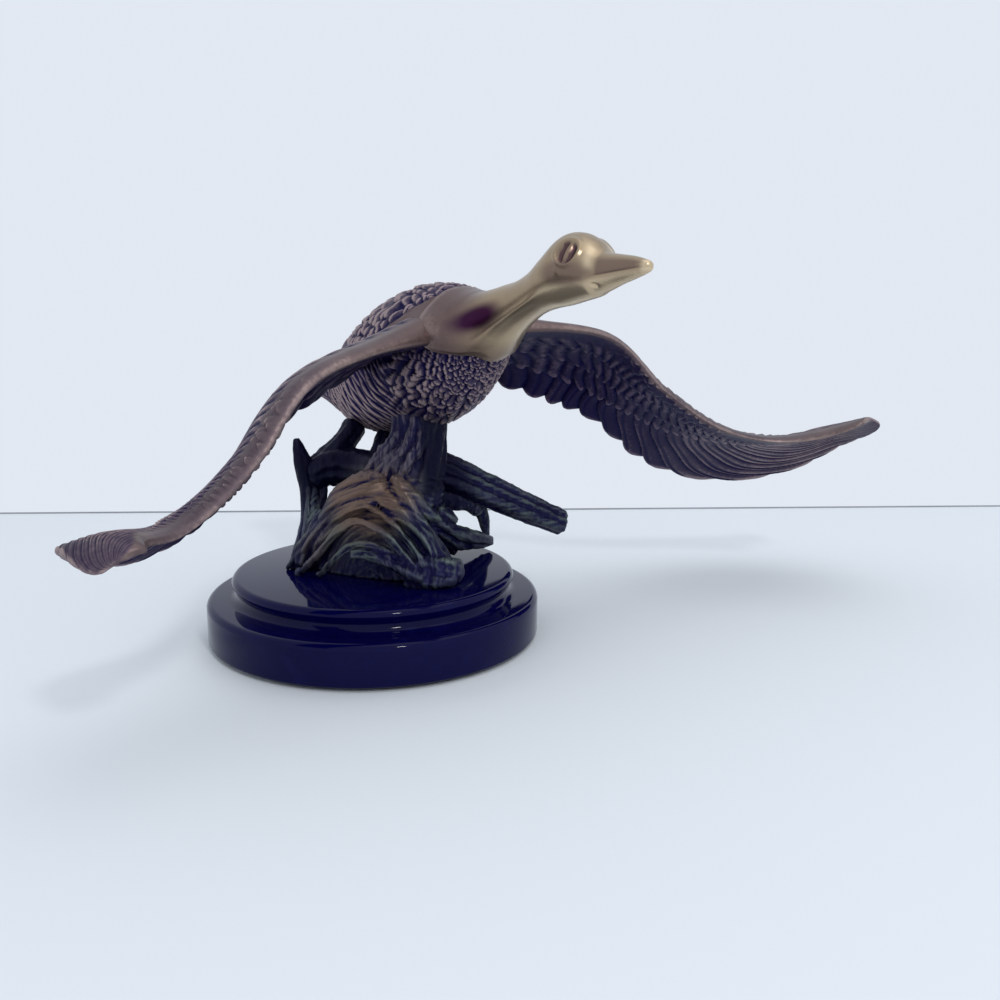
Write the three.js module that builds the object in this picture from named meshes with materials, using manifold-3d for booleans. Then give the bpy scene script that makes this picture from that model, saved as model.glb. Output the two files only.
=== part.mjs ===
// A brass goose in flight over a driftwood stump, bolted to a turned two-tier stone plinth.
// Millimetres, +Z up. The origin is the middle of the felt under the plinth.
// The goose heads towards -Y, so its left side is +X.

import * as THREE from 'three';
import { mergeVertices } from 'three/addons/utils/BufferGeometryUtils.js';
import Module from 'manifold-3d';

const wasm = await Module();
wasm.setup();

// Fits
const FIT_GAP = 0.3; // between castings that are brazed together
const BOLT_GAP = 0.4; // round a threaded rod

// Plinth
const PLINTH_DIAMETER = 127;
const PLINTH_HEIGHT = 24;
const TIER_LEDGE = 9.5; // how far the lower tier stands out past the upper one
const UPPER_TIER_HEIGHT = 8.6;
const TIER_EDGE_RADIUS = 1.6;
const COVE_RADIUS = 3.6;
const FOOT_CHAMFER = 1;
const PLINTH_FACETS = 40;
const FELT_THICKNESS = 1.4;
const FELT_INSET = 3;

// Bolts through the plinth and into the belly
const STUD_DIAMETER = 6;
const STUD_GRIP = 14;
const NUT_ACROSS_FLATS = 10;
const NUT_HEIGHT = 5;
const STUD_PAST_NUT = 1.2;
const WASHER_DIAMETER = 18;
const WASHER_THICKNESS = 1.6;
const RECESS_CLEARANCE = 2;
const RECESS_HEADROOM = 1.2; // under the end of the stud
const BELLY_STUD_DIAMETER = 5;
const BELLY_STUD_GRIP = 10;
const BELLY_STUD_AFT = -6;

// Goose, placed over the stump
const GOOSE_SIDE = 23;
const GOOSE_LIFT = 50; // lowest point of the belly above the plinth
const BODY_WALL = 4;
const NECK_SPIGOT_DIAMETER = 15;
const NECK_SPIGOT_LENGTH = 12;
const NECK_SPIGOT_ROOT = 5;
const EYE_LENGTH = 8;
const EYE_HEIGHT = 9;
const EYE_LID = 1.5; // thickness of the ring round the eye
const EYE_BALL = 5; // across
const EYE_RELIEF = 0.8; // how far the ball stands out

// Body sections from breast to tail: distance aft, back, belly, half width
const BODY_SECTIONS = [
  [-39, 38, 32, 3],
  [-37, 46, 26, 11],
  [-31, 54.5, 17.5, 17.5],
  [-21, 58.2, 9.5, 22],
  [-6, 58.4, 3.2, 24],
  [12, 54.6, 0, 24],
  [29, 46.6, 0.5, 20.5],
  [45, 36.2, 3.5, 15],
  [58, 28, 7, 11.5],
  [70, 21, 9.5, 12],
  [82, 15, 11.5, 15],
];
const CAVITY_END = 50;
const TAIL_START = 62;
const TAIL_FEATHERS = 5;
const TAIL_SCALLOP = 5;

// Neck and head sections along the spine: aft, up, half height, half width
const NECK_SECTIONS = [
  [-24, 38.5, 14.5, 16],
  [-38, 41.5, 13, 13.5],
  [-54, 48.9, 9.3, 9],
  [-66, 55.3, 7.5, 7.6],
  [-75, 60, 8.6, 8.6],
  [-86, 63, 11.2, 9.8],
  [-95, 63.1, 9, 8.8],
  [-101, 62.3, 6.6, 6.8],
  [-108, 62.6, 4.6, 5],
  [-114.6, 63.2, 2.9, 3.4],
  [-118.4, 63.4, 0.9, 1],
];
const EYE_AFT = -91;
const EYE_UP = 66.8;

// Wings: where the stations from shoulder to tip lie, as shares of the reach
const WING_REACH = 154.5; // from the goose's middle to the tip of the left wing's leading edge
const LEFT_SPREAD = [0.039, 0.366, 0.547, 0.725, 0.874, 0.958, 1];
const RIGHT_SPREAD = [0.039, 0.44, 0.619, 0.718, 0.8, 0.875, 0.949];

// At each station: aft and up of the leading edge, chord, droop of the chord in degrees
const LEFT_WING = [
  [-29, 40, 43, 22],
  [-43.5, 38.8, 49.5, 35.5],
  [-50, 17.2, 43, 26],
  [-55, 0.6, 50, 23.5],
  [-63, -6.6, 54.5, 21],
  [-78, -5.6, 42, 15],
  [-99, 0.4, 16, 12],
];
const RIGHT_WING = [
  [-31, 40, 42, 14],
  [-48, 32, 43.5, 31.5],
  [-58, 9.6, 38.5, 33],
  [-63, -2.3, 37, 27.5],
  [-66.5, -8.4, 38, 17.5],
  [-73.4, -7.9, 26.5, 10],
  [-81.8, -6.1, 12.5, 13],
];
const WING_BEND = 0.15; // share of the wing to each side over which its direction is averaged
const WING_CAMBER = 0.1; // rise of the arched wing as a share of its chord
const CAMBER_FORWARD = 0.8; // below 1 the top of the arch lies nearer the leading edge
const ROLL_NOSE = 0.03; // the arm roll's points, as shares of the chord
const ROLL_TOP = 0.12;
const ROLL_BACK = 0.24;
const NOSE_FULLNESS = 0.6;
const WING_ROOT_THICKNESS = 12;
const WING_TIP_THICKNESS = 4;
const FEATHER_EDGE_THICKNESS = 1.6;
const FEATHERS = 16;
const STEPS_PER_FEATHER = 4;
const FEATHER_STEP = 0.7;
const STEP_LENGTH = 0.01; // share of the chord
const FEATHER_CROWN = 0.6;
const COVERT_EDGE = 0.4;
const GREATER_COVERT_EDGE = 0.66;
const COVERT_SCALLOP = 0.07;
const FLIGHT_SCALLOP = 0.07;
const WING_TIP_ROUND = 0.07; // share of the span that rounds off the tip
const WING_TIP_END = 0.15; // share of the chord left at the very tip
const TENON_LENGTH = 15;
const TENON_CHORD = 11;
const TENON_HEIGHT = 4;
const TENON_OUT = 26; // where the tenon ends in the wing
const TENON_PLACE = 0.28; // share of the chord

// Trunk and hooded root, sections above the plinth: height, side, aft, long and short half widths
const TRUNK_RIM = 14; // how far the rim of the trunk cups the belly
const TRUNK_SECTIONS = [
  [0, 12, 2, 22, 19],
  [12, 15, 0, 17, 14],
  [28, 17.5, -3, 13.5, 12],
  [42, 18.5, -4, 12.5, 11],
  [GOOSE_LIFT + TRUNK_RIM, 18.5, -4, 14, 13],
];
const HOOD_SECTIONS = [
  [0, -4, -6, 37, 18],
  [8, -3.5, -6, 33, 17],
  [18, -1, -5, 24, 15],
  [28, 3, -4, 16, 12.5],
  [37, 7, -3, 11, 10],
  [44, 11, -2.5, 6, 6],
];
const HOOD_TURN = -59; // degrees from +X to the hood's long axis
const BARK_RIDGES = 11;
const BARK_DEPTH = 0.07; // share of the half width
const BARK_TWIST = 3; // radians from foot to top
const LIMB_RIDGE = 0.06; // share of a limb's radius
const CAVE_SIZE = [20, 8, 26];
const CAVE_OUT = 19;
const OUTER_ARCH = { long: 14, high: 19, out: 12.5 };
const INNER_ARCH = { long: 8, high: 12, out: 14 };
const ARCH_RADIUS = 2;
const ARCH_STEPS = 4;

// Roots, branch, limb, reeds and leaf: points along each middle line, and radii along it
const SIDE_ROOT = { path: [[14, -6, 8.2], [34, -8, 6.6], [54, -3.5, 3.4]], radii: [7.6, 6, 2.8] };
const ROOT_TOE = { path: [[2, -14, 9.2], [9, -27, 7.6], [15, -38, 6.2]], radii: [8.4, 6.8, 5.6] };
const BRANCH = { path: [[29.5, -5.4, 36.5], [54, -11, 24.2], [82, -17.5, 10]], radii: [7.2, 6.4, 5.4] };
const BRANCH_TENON_DIAMETER = 8;
const BRANCH_TENON_LENGTH = 12;
const LIMB_ARM = { path: [[10, 4, 37], [1, 22, 37], [-13, 30, 34]], radii: [7, 8.4, 6.4] };
const LIMB_BITE = 3; // how far the prong would run into the belly that it is cut to
const LIMB_PRONG = {
  path: [[-3, 24, 36], [4, 32, 42], [13, 37, GOOSE_LIFT + LIMB_BITE]],
  radii: [8, 7, 7.4],
};
const TALL_REED = {
  path: [[-22, 23, 0], [-16.5, 27, 18], [-15, 30, 34], [-15.5, 31, 49.5]],
  width: [5.2, 4, 3.2, 0.6],
};
const MIDDLE_REED = {
  path: [[-18, 28, 0], [-12, 30, 16], [-10, 31, 28], [-9, 32, 37]],
  width: [5.6, 4.4, 3.4, 0.8],
};
const SHORT_REED = {
  path: [[-12, 27, 0], [-6, 29, 14], [-3, 30, 24], [-2, 31, 33]],
  width: [5.6, 4.2, 3, 0.8],
};
const REED_FACING = new THREE.Vector3(1, 0.4, 0); // the flat of each reed holds this direction
const BLADE_THICKNESS = 0.55; // share of a blade's width
const LEAF = {
  path: [[32, -4, 30], [45, -5, 25.5], [52.5, -5, 15], [55.5, -4, 2]],
  width: [4.6, 4.6, 3.4, 0.8],
};
const LEAF_FACING = new THREE.Vector3(0, 1, 0);

const UP = new THREE.Vector3(0, 0, 1);
const PLINTH_TOP = FELT_THICKNESS + PLINTH_HEIGHT;
const RECESS_DEPTH = WASHER_THICKNESS + NUT_HEIGHT + STUD_PAST_NUT + RECESS_HEADROOM;

// Materials, with the colours that the patina leaves
const metal = (color, roughness) => new THREE.MeshStandardMaterial({ color, roughness, metalness: 1 });
const POLISHED_BRASS = metal(0xa8834f, 0.28);
const BROWN_PATINA = metal(0x5a4030, 0.45);
const BLACK_PATINA = metal(0x23242b, 0.5);
const STEEL = metal(0x8f9296, 0.4);
const BLACK_STONE = new THREE.MeshStandardMaterial({ color: 0x0b0b12, roughness: 0.12, metalness: 0 });
const FELT = new THREE.MeshStandardMaterial({ color: 0x16161a, roughness: 0.95, metalness: 0 });

// Smooth value along a list of numbers, at a share from 0 to 1
function along(values, share) {
  const last = values.length - 1;
  const points = values.map((value, i) => new THREE.Vector2(i / last, value));
  return new THREE.SplineCurve(points).getPoint(share).y;
}

function column(table, index) {
  return table.map((row) => row[index]);
}

// Closed geometry from points and triangles, turned so that its faces point out
function closed(points, faces) {
  let volume = 0;
  for (let i = 0; i < faces.length; i += 3) {
    const [a, b, c] = [points[faces[i]], points[faces[i + 1]], points[faces[i + 2]]];
    volume += a.dot(new THREE.Vector3().crossVectors(b, c));
  }
  const index = volume < 0 ? faces.toReversed() : faces;
  const geometry = new THREE.BufferGeometry().setFromPoints(points);
  geometry.setIndex(index);
  return geometry;
}

// Skin over rings of equal length, with a fan over each end
function loft(rings) {
  const count = rings[0].length;
  const points = rings.flat();
  const faces = [];
  for (let ring = 0; ring + 1 < rings.length; ring += 1) {
    for (let i = 0; i < count; i += 1) {
      const a = ring * count + i;
      const b = ring * count + ((i + 1) % count);
      faces.push(a, b, b + count, a, b + count, a + count);
    }
  }
  for (const ring of [0, rings.length - 1]) {
    const middle = points.length;
    points.push(rings[ring].reduce((sum, p) => sum.add(p), new THREE.Vector3()).divideScalar(count));
    for (let i = 0; i < count; i += 1) {
      const a = ring * count + i;
      const b = ring * count + ((i + 1) % count);
      faces.push(...(ring === 0 ? [middle, b, a] : [middle, a, b]));
    }
  }
  return closed(points, faces);
}

// Ring of points from a function of the angle
function ring(count, pointAt) {
  return Array.from({ length: count }, (_, i) => pointAt((i / count) * 2 * Math.PI));
}

function solid(geometry) {
  const bare = geometry.clone();
  bare.deleteAttribute('normal');
  bare.deleteAttribute('uv');
  const merged = mergeVertices(bare, 1e-4);
  const vertProperties = new Float32Array(merged.attributes.position.array);
  const triVerts = new Uint32Array(merged.index.array);
  return new wasm.Manifold(new wasm.Mesh({ numProp: 3, vertProperties, triVerts }));
}

// Mesh of a solid's largest piece: a cut can leave slivers beside it
function mesh(name, shape, material) {
  const pieces = shape.decompose().sort((a, b) => b.volume() - a.volume());
  const { vertProperties, triVerts } = pieces[0].getMesh();
  const geometry = new THREE.BufferGeometry();
  geometry.setAttribute('position', new THREE.BufferAttribute(vertProperties, 3));
  geometry.setIndex(new THREE.BufferAttribute(triVerts, 1));
  geometry.computeVertexNormals();
  const node = new THREE.Mesh(geometry, material);
  node.name = name;
  return node;
}

function turned(profile, segments) {
  const points = profile.map(([radius, height]) => new THREE.Vector2(radius, height));
  const geometry = new THREE.LatheGeometry(points, segments);
  return solid(geometry.rotateX(Math.PI / 2));
}

function rod(diameter, from, to, sides = 20) {
  const radius = diameter / 2;
  return turned([[0, from], [radius, from], [radius, to], [0, to]], sides);
}

// Quarter of a circle as profile points, from one angle to the other in degrees
function arc(radius, height, size, from, to, steps = 3) {
  return Array.from({ length: steps + 1 }, (_, i) => {
    const angle = THREE.MathUtils.degToRad(from + ((to - from) * i) / steps);
    return [radius + size * Math.cos(angle), height + size * Math.sin(angle)];
  });
}

// Tapered limb along a path, with lengthwise ridges where ridge is above zero
function limb({ path, radii }, { grow = 0, sides = 15, steps = 6, ridge = 0, ridges = 5 } = {}) {
  const curve = new THREE.CatmullRomCurve3(path.map((p) => new THREE.Vector3(...p)));
  const frames = curve.computeFrenetFrames(steps);
  const rings = Array.from({ length: steps + 1 }, (_, step) => {
    const middle = curve.getPointAt(step / steps);
    const radius = along(radii, step / steps) + grow;
    return ring(sides, (angle) => {
      const size = radius * (1 + ridge * Math.cos(ridges * angle));
      return middle.clone()
        .addScaledVector(frames.normals[step], size * Math.cos(angle))
        .addScaledVector(frames.binormals[step], size * Math.sin(angle));
    });
  });
  return solid(loft(rings));
}

// Flat pointed blade along a path; the plane of the blade holds the given direction
function blade({ path, width }, across, { grow = 0, sides = 8, steps = 8 } = {}) {
  const curve = new THREE.CatmullRomCurve3(path.map((p) => new THREE.Vector3(...p)));
  const rings = Array.from({ length: steps + 1 }, (_, step) => {
    const middle = curve.getPoint(step / steps);
    const tangent = curve.getTangent(step / steps);
    const thin = new THREE.Vector3().crossVectors(tangent, across).normalize();
    const wide = new THREE.Vector3().crossVectors(thin, tangent).normalize();
    const half = along(width, step / steps);
    return ring(sides, (angle) => middle.clone()
      .addScaledVector(wide, (half + grow) * Math.cos(angle))
      .addScaledVector(thin, (half * BLADE_THICKNESS + grow) * Math.sin(angle)));
  });
  return solid(loft(rings));
}

// Bark column: level sections of [height, side, aft, long half width, short half width]
function bark(sections, turn, grow, steps) {
  const sides = BARK_RIDGES * 3;
  const rings = Array.from({ length: steps + 1 }, (_, step) => {
    const share = step / steps;
    const [height, ...level] = [0, 1, 2, 3, 4].map((i) => along(column(sections, i), share));
    const [side, aft, long, short] = level;
    return ring(sides, (angle) => {
      const size = 1 + BARK_DEPTH * Math.cos(BARK_RIDGES * angle + BARK_TWIST * share);
      const x = (long * size + grow) * Math.cos(angle);
      const y = (short * size + grow) * Math.sin(angle);
      return new THREE.Vector3(x, y, 0).applyAxisAngle(UP, turn).add(new THREE.Vector3(side, aft, height));
    });
  });
  return solid(loft(rings));
}

// Plinth: one turned stone with a cove under the upper tier and a recess for the nut
function plinth() {
  const outer = PLINTH_DIAMETER / 2;
  const upper = outer - TIER_LEDGE;
  const shoulder = PLINTH_TOP - UPPER_TIER_HEIGHT;
  const edge = TIER_EDGE_RADIUS;
  const bore = STUD_DIAMETER / 2 + BOLT_GAP;
  const recess = WASHER_DIAMETER / 2 + RECESS_CLEARANCE;
  const ceiling = FELT_THICKNESS + RECESS_DEPTH;
  const profile = [
    [recess, FELT_THICKNESS],
    [outer - FOOT_CHAMFER, FELT_THICKNESS],
    [outer, FELT_THICKNESS + FOOT_CHAMFER],
    ...arc(outer - edge, shoulder - edge, edge, 0, 90),
    ...arc(upper + COVE_RADIUS - edge, shoulder + COVE_RADIUS, COVE_RADIUS, 270, 180),
    ...arc(upper - edge, PLINTH_TOP - edge, edge, 0, 90),
    [bore, PLINTH_TOP],
    [bore, ceiling],
    [recess, ceiling],
    [recess, FELT_THICKNESS],
  ];
  return turned(profile, PLINTH_FACETS);
}

const washerTop = FELT_THICKNESS + RECESS_DEPTH;
const nutTop = washerTop - WASHER_THICKNESS;
const nutBottom = nutTop - NUT_HEIGHT;

function washer() {
  const bore = STUD_DIAMETER / 2 + BOLT_GAP;
  const rim = WASHER_DIAMETER / 2;
  return turned([[bore, nutTop], [rim, nutTop], [rim, washerTop], [bore, washerTop], [bore, nutTop]], 24);
}

function hexNut() {
  const corner = NUT_ACROSS_FLATS / Math.sqrt(3);
  const outline = new THREE.Shape(ring(6, (angle) => new THREE.Vector2(Math.cos(angle), Math.sin(angle))
    .multiplyScalar(corner)));
  const hole = new THREE.Path();
  hole.absarc(0, 0, STUD_DIAMETER / 2 + BOLT_GAP, 0, 2 * Math.PI, true);
  outline.holes.push(hole);
  const depth = NUT_HEIGHT;
  const geometry = new THREE.ExtrudeGeometry(outline, { depth, bevelEnabled: false, curveSegments: 10 });
  return solid(geometry.translate(0, 0, nutBottom));
}

// Goose body: sections square to the heading, the last ones spread into a scalloped tail fan
function bodySkin(grow, end = Infinity, stepsEach = 2) {
  const sides = 24;
  const sections = BODY_SECTIONS.filter(([aft]) => aft <= end);
  const steps = (sections.length - 1) * stepsEach;
  const first = sections[0][0];
  const last = sections.at(-1)[0];
  const rings = Array.from({ length: steps + 1 }, (_, step) => {
    const share = step / steps;
    const [aft, back, belly, half] = [0, 1, 2, 3].map((i) => along(column(sections, i), share));
    const stretch = aft + grow * THREE.MathUtils.mapLinear(aft, first, last, -1, 1);
    const middle = (back + belly) / 2;
    const tail = THREE.MathUtils.smoothstep(aft, TAIL_START, last);
    return ring(sides, (angle) => {
      const wide = Math.cos(angle);
      const high = Math.sin(angle);
      const feather = (wide + 1) * 0.5 * TAIL_FEATHERS;
      const scallop = Number.isFinite(end) ? 0 : tail * TAIL_SCALLOP * (2 * (feather % 1) - 1) ** 2;
      const height = (back - belly) / 2 + grow;
      return new THREE.Vector3((half + grow) * wide, stretch - scallop, middle + height * high);
    });
  });
  return loft(rings);
}

// Neck and head: round sections square to the spine, from the bib to the bill tip
function neckSkin(grow) {
  const sides = 20;
  const steps = (NECK_SECTIONS.length - 1) * 2;
  const rings = Array.from({ length: steps + 1 }, (_, step) => {
    const share = step / steps;
    const [aft, up, high, wide] = [0, 1, 2, 3].map((i) => along(column(NECK_SECTIONS, i), share));
    return ring(sides, (angle) => new THREE.Vector3(
      (wide + grow) * Math.cos(angle), aft, up + (high + grow) * Math.sin(angle)));
  });
  return loft(rings);
}

function neckSpigot(grow) {
  const [aft, up] = NECK_SECTIONS[1];
  const radius = NECK_SPIGOT_DIAMETER / 2 + grow;
  const root = aft - NECK_SPIGOT_ROOT;
  const length = NECK_SPIGOT_ROOT + NECK_SPIGOT_LENGTH + grow;
  const geometry = new THREE.CylinderGeometry(radius, radius, length, 24);
  return solid(geometry.translate(0, root + length / 2, up));
}

// Half width of the head where its side has the given place
function headSide(aft, up) {
  let [front, rear] = [1, 0];
  for (let halving = 0; halving < 20; halving += 1) {
    const share = (front + rear) / 2;
    if (along(column(NECK_SECTIONS, 0), share) > aft) rear = share;
    else front = share;
  }
  const [middle, high, wide] = [1, 2, 3].map((i) => along(column(NECK_SECTIONS, i), front));
  return wide * Math.sqrt(Math.max(0, 1 - ((up - middle) / high) ** 2));
}

// Eye: a ball inside an oval lid that follows the side of the head
function eye(side) {
  const lidPath = ring(16, (angle) => {
    const aft = EYE_AFT + (EYE_LENGTH / 2) * Math.cos(angle);
    const up = EYE_UP + (EYE_HEIGHT / 2) * Math.sin(angle);
    return new THREE.Vector3(side * headSide(aft, up), aft, up);
  });
  const lid = new THREE.TubeGeometry(new THREE.CatmullRomCurve3(lidPath, true), 16, EYE_LID / 2, 5, true);
  const ball = new THREE.SphereGeometry(EYE_BALL / 2, 10, 6).scale((2 * EYE_RELIEF) / EYE_BALL, 1, 1);
  return solid(lid).add(solid(ball.translate(side * headSide(EYE_AFT, EYE_UP), EYE_AFT, EYE_UP)));
}

// Rounded feather: 0 at its middle, 1 at its edges
function featherEdge(count) {
  return (2 * (count - Math.floor(count)) - 1) ** 2;
}

const stationsAt = (spread, table) => table.map((row, i) => [spread[i] * WING_REACH, ...row]);
const leftStations = stationsAt(LEFT_SPREAD, LEFT_WING);
const rightStations = stationsAt(RIGHT_SPREAD, RIGHT_WING);

// Section of a wing: its leading edge, the way along the wing, back along the chord, up, and the chord
function wingSection(stations, share) {
  const points = stations.map(([out, aft, up]) => new THREE.Vector3(out, aft, up));
  const curve = new THREE.CatmullRomCurve3(points, false, 'catmullrom', 0.5);
  const behind = curve.getPoint(Math.max(0, share - WING_BEND));
  const outwards = curve.getPoint(Math.min(1, share + WING_BEND)).sub(behind).normalize();
  const droop = THREE.MathUtils.degToRad(along(column(stations, 4), share));
  const back = new THREE.Vector3(0, Math.cos(droop), -Math.sin(droop));
  back.addScaledVector(outwards, -back.dot(outwards)).normalize();
  const normal = new THREE.Vector3().crossVectors(outwards, back).normalize();
  return { edge: curve.getPoint(share), outwards, back, normal, chord: along(column(stations, 3), share) };
}

function wingLift(chord, place) {
  return WING_CAMBER * chord * Math.sin(Math.PI * place ** CAMBER_FORWARD);
}

// Wing: arm roll along the leading edge, then two tiers of coverts and the flight feathers on both faces
function wingSkin(stations, side) {
  const steps = FEATHERS * STEPS_PER_FEATHER;
  const rings = Array.from({ length: steps + 1 }, (_, step) => {
    const share = step / steps;
    const { edge, back, normal, chord } = wingSection(stations, share);
    const flight = featherEdge(share * FEATHERS);
    const between = featherEdge(share * FEATHERS + 0.5);
    const thick = THREE.MathUtils.lerp(WING_ROOT_THICKNESS, WING_TIP_THICKNESS, Math.sqrt(share)) / 2;
    const thin = FEATHER_EDGE_THICKNESS / 2;
    const covert = COVERT_EDGE - COVERT_SCALLOP * between;
    const greater = GREATER_COVERT_EDGE - COVERT_SCALLOP * flight;
    const tip = 1 - FLIGHT_SCALLOP * between;
    const half = (c) => thin + (thick - thin) * (1 - c) ** 2;
    const crown = (edgeShare) => FEATHER_CROWN * (1 - edgeShare);
    const face = [
      [ROLL_NOSE, half(0) * NOSE_FULLNESS],
      [ROLL_TOP, half(ROLL_TOP / 2)],
      [ROLL_BACK, half(ROLL_BACK)],
      [covert, half(covert) + crown(between)],
      [covert + STEP_LENGTH, half(covert) + crown(flight) - FEATHER_STEP],
      [greater, half(greater) + crown(flight)],
      [greater + STEP_LENGTH, half(greater) + crown(between) - FEATHER_STEP],
      [tip, thin],
    ];
    const past = Math.max(0, (share - 1 + WING_TIP_ROUND) / WING_TIP_ROUND);
    const squeeze = THREE.MathUtils.lerp(WING_TIP_END, 1, Math.sqrt(1 - past ** 2));
    const at = ([place, offset], sign) => {
      const c = 0.5 + (place - 0.5) * squeeze;
      return edge.clone()
        .addScaledVector(back, chord * c)
        .addScaledVector(normal, wingLift(chord, c) + sign * offset * squeeze)
        .multiply(new THREE.Vector3(side, 1, 1));
    };
    return [at([0, 0], 1), ...face.map((p) => at(p, 1)), ...face.toReversed().map((p) => at(p, -1))];
  });
  return solid(loft(rings));
}

// Tenon in the thickness of a wing, half in the wing and half in the shoulder
function wingTenon(stations, side, grow) {
  const [[rootOut], [nextOut]] = stations;
  const middle = TENON_OUT - TENON_LENGTH / 2;
  const share = (middle - rootOut) / (nextOut - rootOut) / (stations.length - 1);
  const { edge, outwards, back, normal, chord } = wingSection(stations, share);
  edge.addScaledVector(back, chord * TENON_PLACE).addScaledVector(normal, wingLift(chord, TENON_PLACE));
  const mirror = new THREE.Vector3(side, 1, 1);
  for (const direction of [edge, outwards, back, normal]) direction.multiply(mirror);
  const sizes = [TENON_LENGTH, TENON_CHORD, TENON_HEIGHT].map((size) => size + 2 * grow);
  const geometry = new THREE.BoxGeometry(...sizes);
  geometry.applyMatrix4(new THREE.Matrix4().makeBasis(outwards.multiplyScalar(side), back, normal));
  return solid(geometry.translate(...edge));
}

// Stump: trunk, hooded root with its hollow, side root and toe, all one casting
const hoodTurn = THREE.MathUtils.degToRad(HOOD_TURN);
const hoodFacing = new THREE.Vector3(Math.sin(hoodTurn), -Math.cos(hoodTurn), 0);

const [, hoodSide, hoodAft] = HOOD_SECTIONS[0];

// Round ridge that arches over the hollow, parallel to the hood's long axis
function hoodArch({ long, high, out }, grow) {
  const path = Array.from({ length: ARCH_STEPS + 1 }, (_, step) => {
    const angle = Math.PI * (1 - step / ARCH_STEPS);
    const point = new THREE.Vector3(long * Math.cos(angle), -out, ARCH_RADIUS + high * Math.sin(angle));
    return point.applyAxisAngle(UP, hoodTurn).add(new THREE.Vector3(hoodSide, hoodAft, 0)).toArray();
  });
  return limb({ path, radii: [ARCH_RADIUS, ARCH_RADIUS] }, { grow, sides: 8, steps: 8 });
}

function stumpSkin(grow) {
  const cave = new THREE.SphereGeometry(1, 18, 12);
  const [caveLong, caveDeep, caveHigh] = CAVE_SIZE.map((size) => size - grow);
  cave.scale(caveLong, caveDeep, caveHigh).rotateZ(hoodTurn);
  cave.translate(hoodSide + CAVE_OUT * hoodFacing.x, hoodAft + CAVE_OUT * hoodFacing.y, 0);
  return bark(HOOD_SECTIONS, hoodTurn, grow, 10)
    .subtract(solid(cave))
    .add(hoodArch(OUTER_ARCH, grow))
    .add(hoodArch(INNER_ARCH, grow))
    .add(bark(TRUNK_SECTIONS, 0, grow, 8))
    .add(limb(SIDE_ROOT, { grow, ridge: LIMB_RIDGE }))
    .add(limb(ROOT_TOE, { grow, ridge: LIMB_RIDGE }));
}

const gooseAt = new THREE.Vector3(GOOSE_SIDE, 0, GOOSE_LIFT);
const ground = solid(new THREE.BoxGeometry(PLINTH_DIAMETER, PLINTH_DIAMETER, PLINTH_HEIGHT)
  .translate(0, 0, -PLINTH_HEIGHT / 2));
const placedBody = solid(bodySkin(FIT_GAP).translate(...gooseAt));

function belly(grow) {
  const geometry = new THREE.CylinderGeometry(
    BELLY_STUD_DIAMETER / 2 + grow, BELLY_STUD_DIAMETER / 2 + grow, 2 * (BELLY_STUD_GRIP + grow), 16);
  geometry.rotateX(Math.PI / 2);
  return geometry.translate(0, BELLY_STUD_AFT, 0);
}

const stumpTrimmed = stumpSkin(0)
  .subtract(ground)
  .subtract(placedBody)
  .subtract(solid(belly(BOLT_GAP).translate(...gooseAt)))
  .subtract(rod(STUD_DIAMETER + 2 * BOLT_GAP, -STUD_GRIP, STUD_GRIP + BOLT_GAP));

const branchLog = (grow) => limb(BRANCH, { grow, ridge: LIMB_RIDGE, ridges: 6, sides: 24 });
const [branchStart, branchNext] = BRANCH.path.map((p) => new THREE.Vector3(...p));
function branchTenon(grow) {
  const direction = branchNext.clone().sub(branchStart).normalize();
  const start = branchStart.clone().addScaledVector(direction, -grow);
  const end = branchStart.clone().addScaledVector(direction, BRANCH_TENON_LENGTH + grow);
  const radius = BRANCH_TENON_DIAMETER / 2 + grow;
  return limb({ path: [start.toArray(), end.toArray()], radii: [radius, radius] }, { sides: 16, steps: 2 });
}

const stumpGrown = stumpSkin(FIT_GAP).subtract(placedBody);
const stump = stumpTrimmed.subtract(branchTenon(FIT_GAP));
const branch = branchLog(0).subtract(stumpGrown).add(branchTenon(0));

const reeds = (grow) => [TALL_REED, MIDDLE_REED, SHORT_REED]
  .map((reed) => blade(reed, REED_FACING, { grow }))
  .reduce((a, b) => a.add(b));
const reedClump = reeds(0).subtract(ground).subtract(stumpGrown);
const leaf = blade(LEAF, LEAF_FACING)
  .subtract(ground)
  .subtract(stumpGrown)
  .subtract(branchLog(FIT_GAP));
const forkedLimb = limb(LIMB_ARM, { ridge: LIMB_RIDGE })
  .add(limb(LIMB_PRONG, { ridge: LIMB_RIDGE }))
  .subtract(stumpGrown)
  .subtract(reeds(FIT_GAP))
  .subtract(placedBody);

// Goose castings
const body = solid(bodySkin(0))
  .subtract(solid(bodySkin(-BODY_WALL, CAVITY_END, 1)))
  .subtract(neckSpigot(FIT_GAP))
  .subtract(wingTenon(leftStations, 1, FIT_GAP))
  .subtract(wingTenon(rightStations, -1, FIT_GAP))
  .subtract(solid(belly(BOLT_GAP)));
const bodyGrown = solid(bodySkin(FIT_GAP));
const neck = solid(neckSkin(0)).subtract(bodyGrown).add(neckSpigot(0)).add(eye(1)).add(eye(-1));
const neckGrown = solid(neckSkin(FIT_GAP));
const wing = (stations, side) => wingSkin(stations, side)
  .subtract(bodyGrown)
  .subtract(neckGrown)
  .add(wingTenon(stations, side, 0));

// Assembly
const base = new THREE.Group();
base.add(
  mesh('felt_pad', rod(PLINTH_DIAMETER - 2 * FELT_INSET, 0, FELT_THICKNESS, 48), FELT),
  mesh('plinth', plinth(), BLACK_STONE),
  mesh('hex_nut', hexNut(), STEEL),
  mesh('flat_washer', washer(), STEEL),
  mesh('mounting_stud', rod(STUD_DIAMETER, nutBottom - STUD_PAST_NUT, PLINTH_TOP + STUD_GRIP), STEEL),
);

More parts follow.
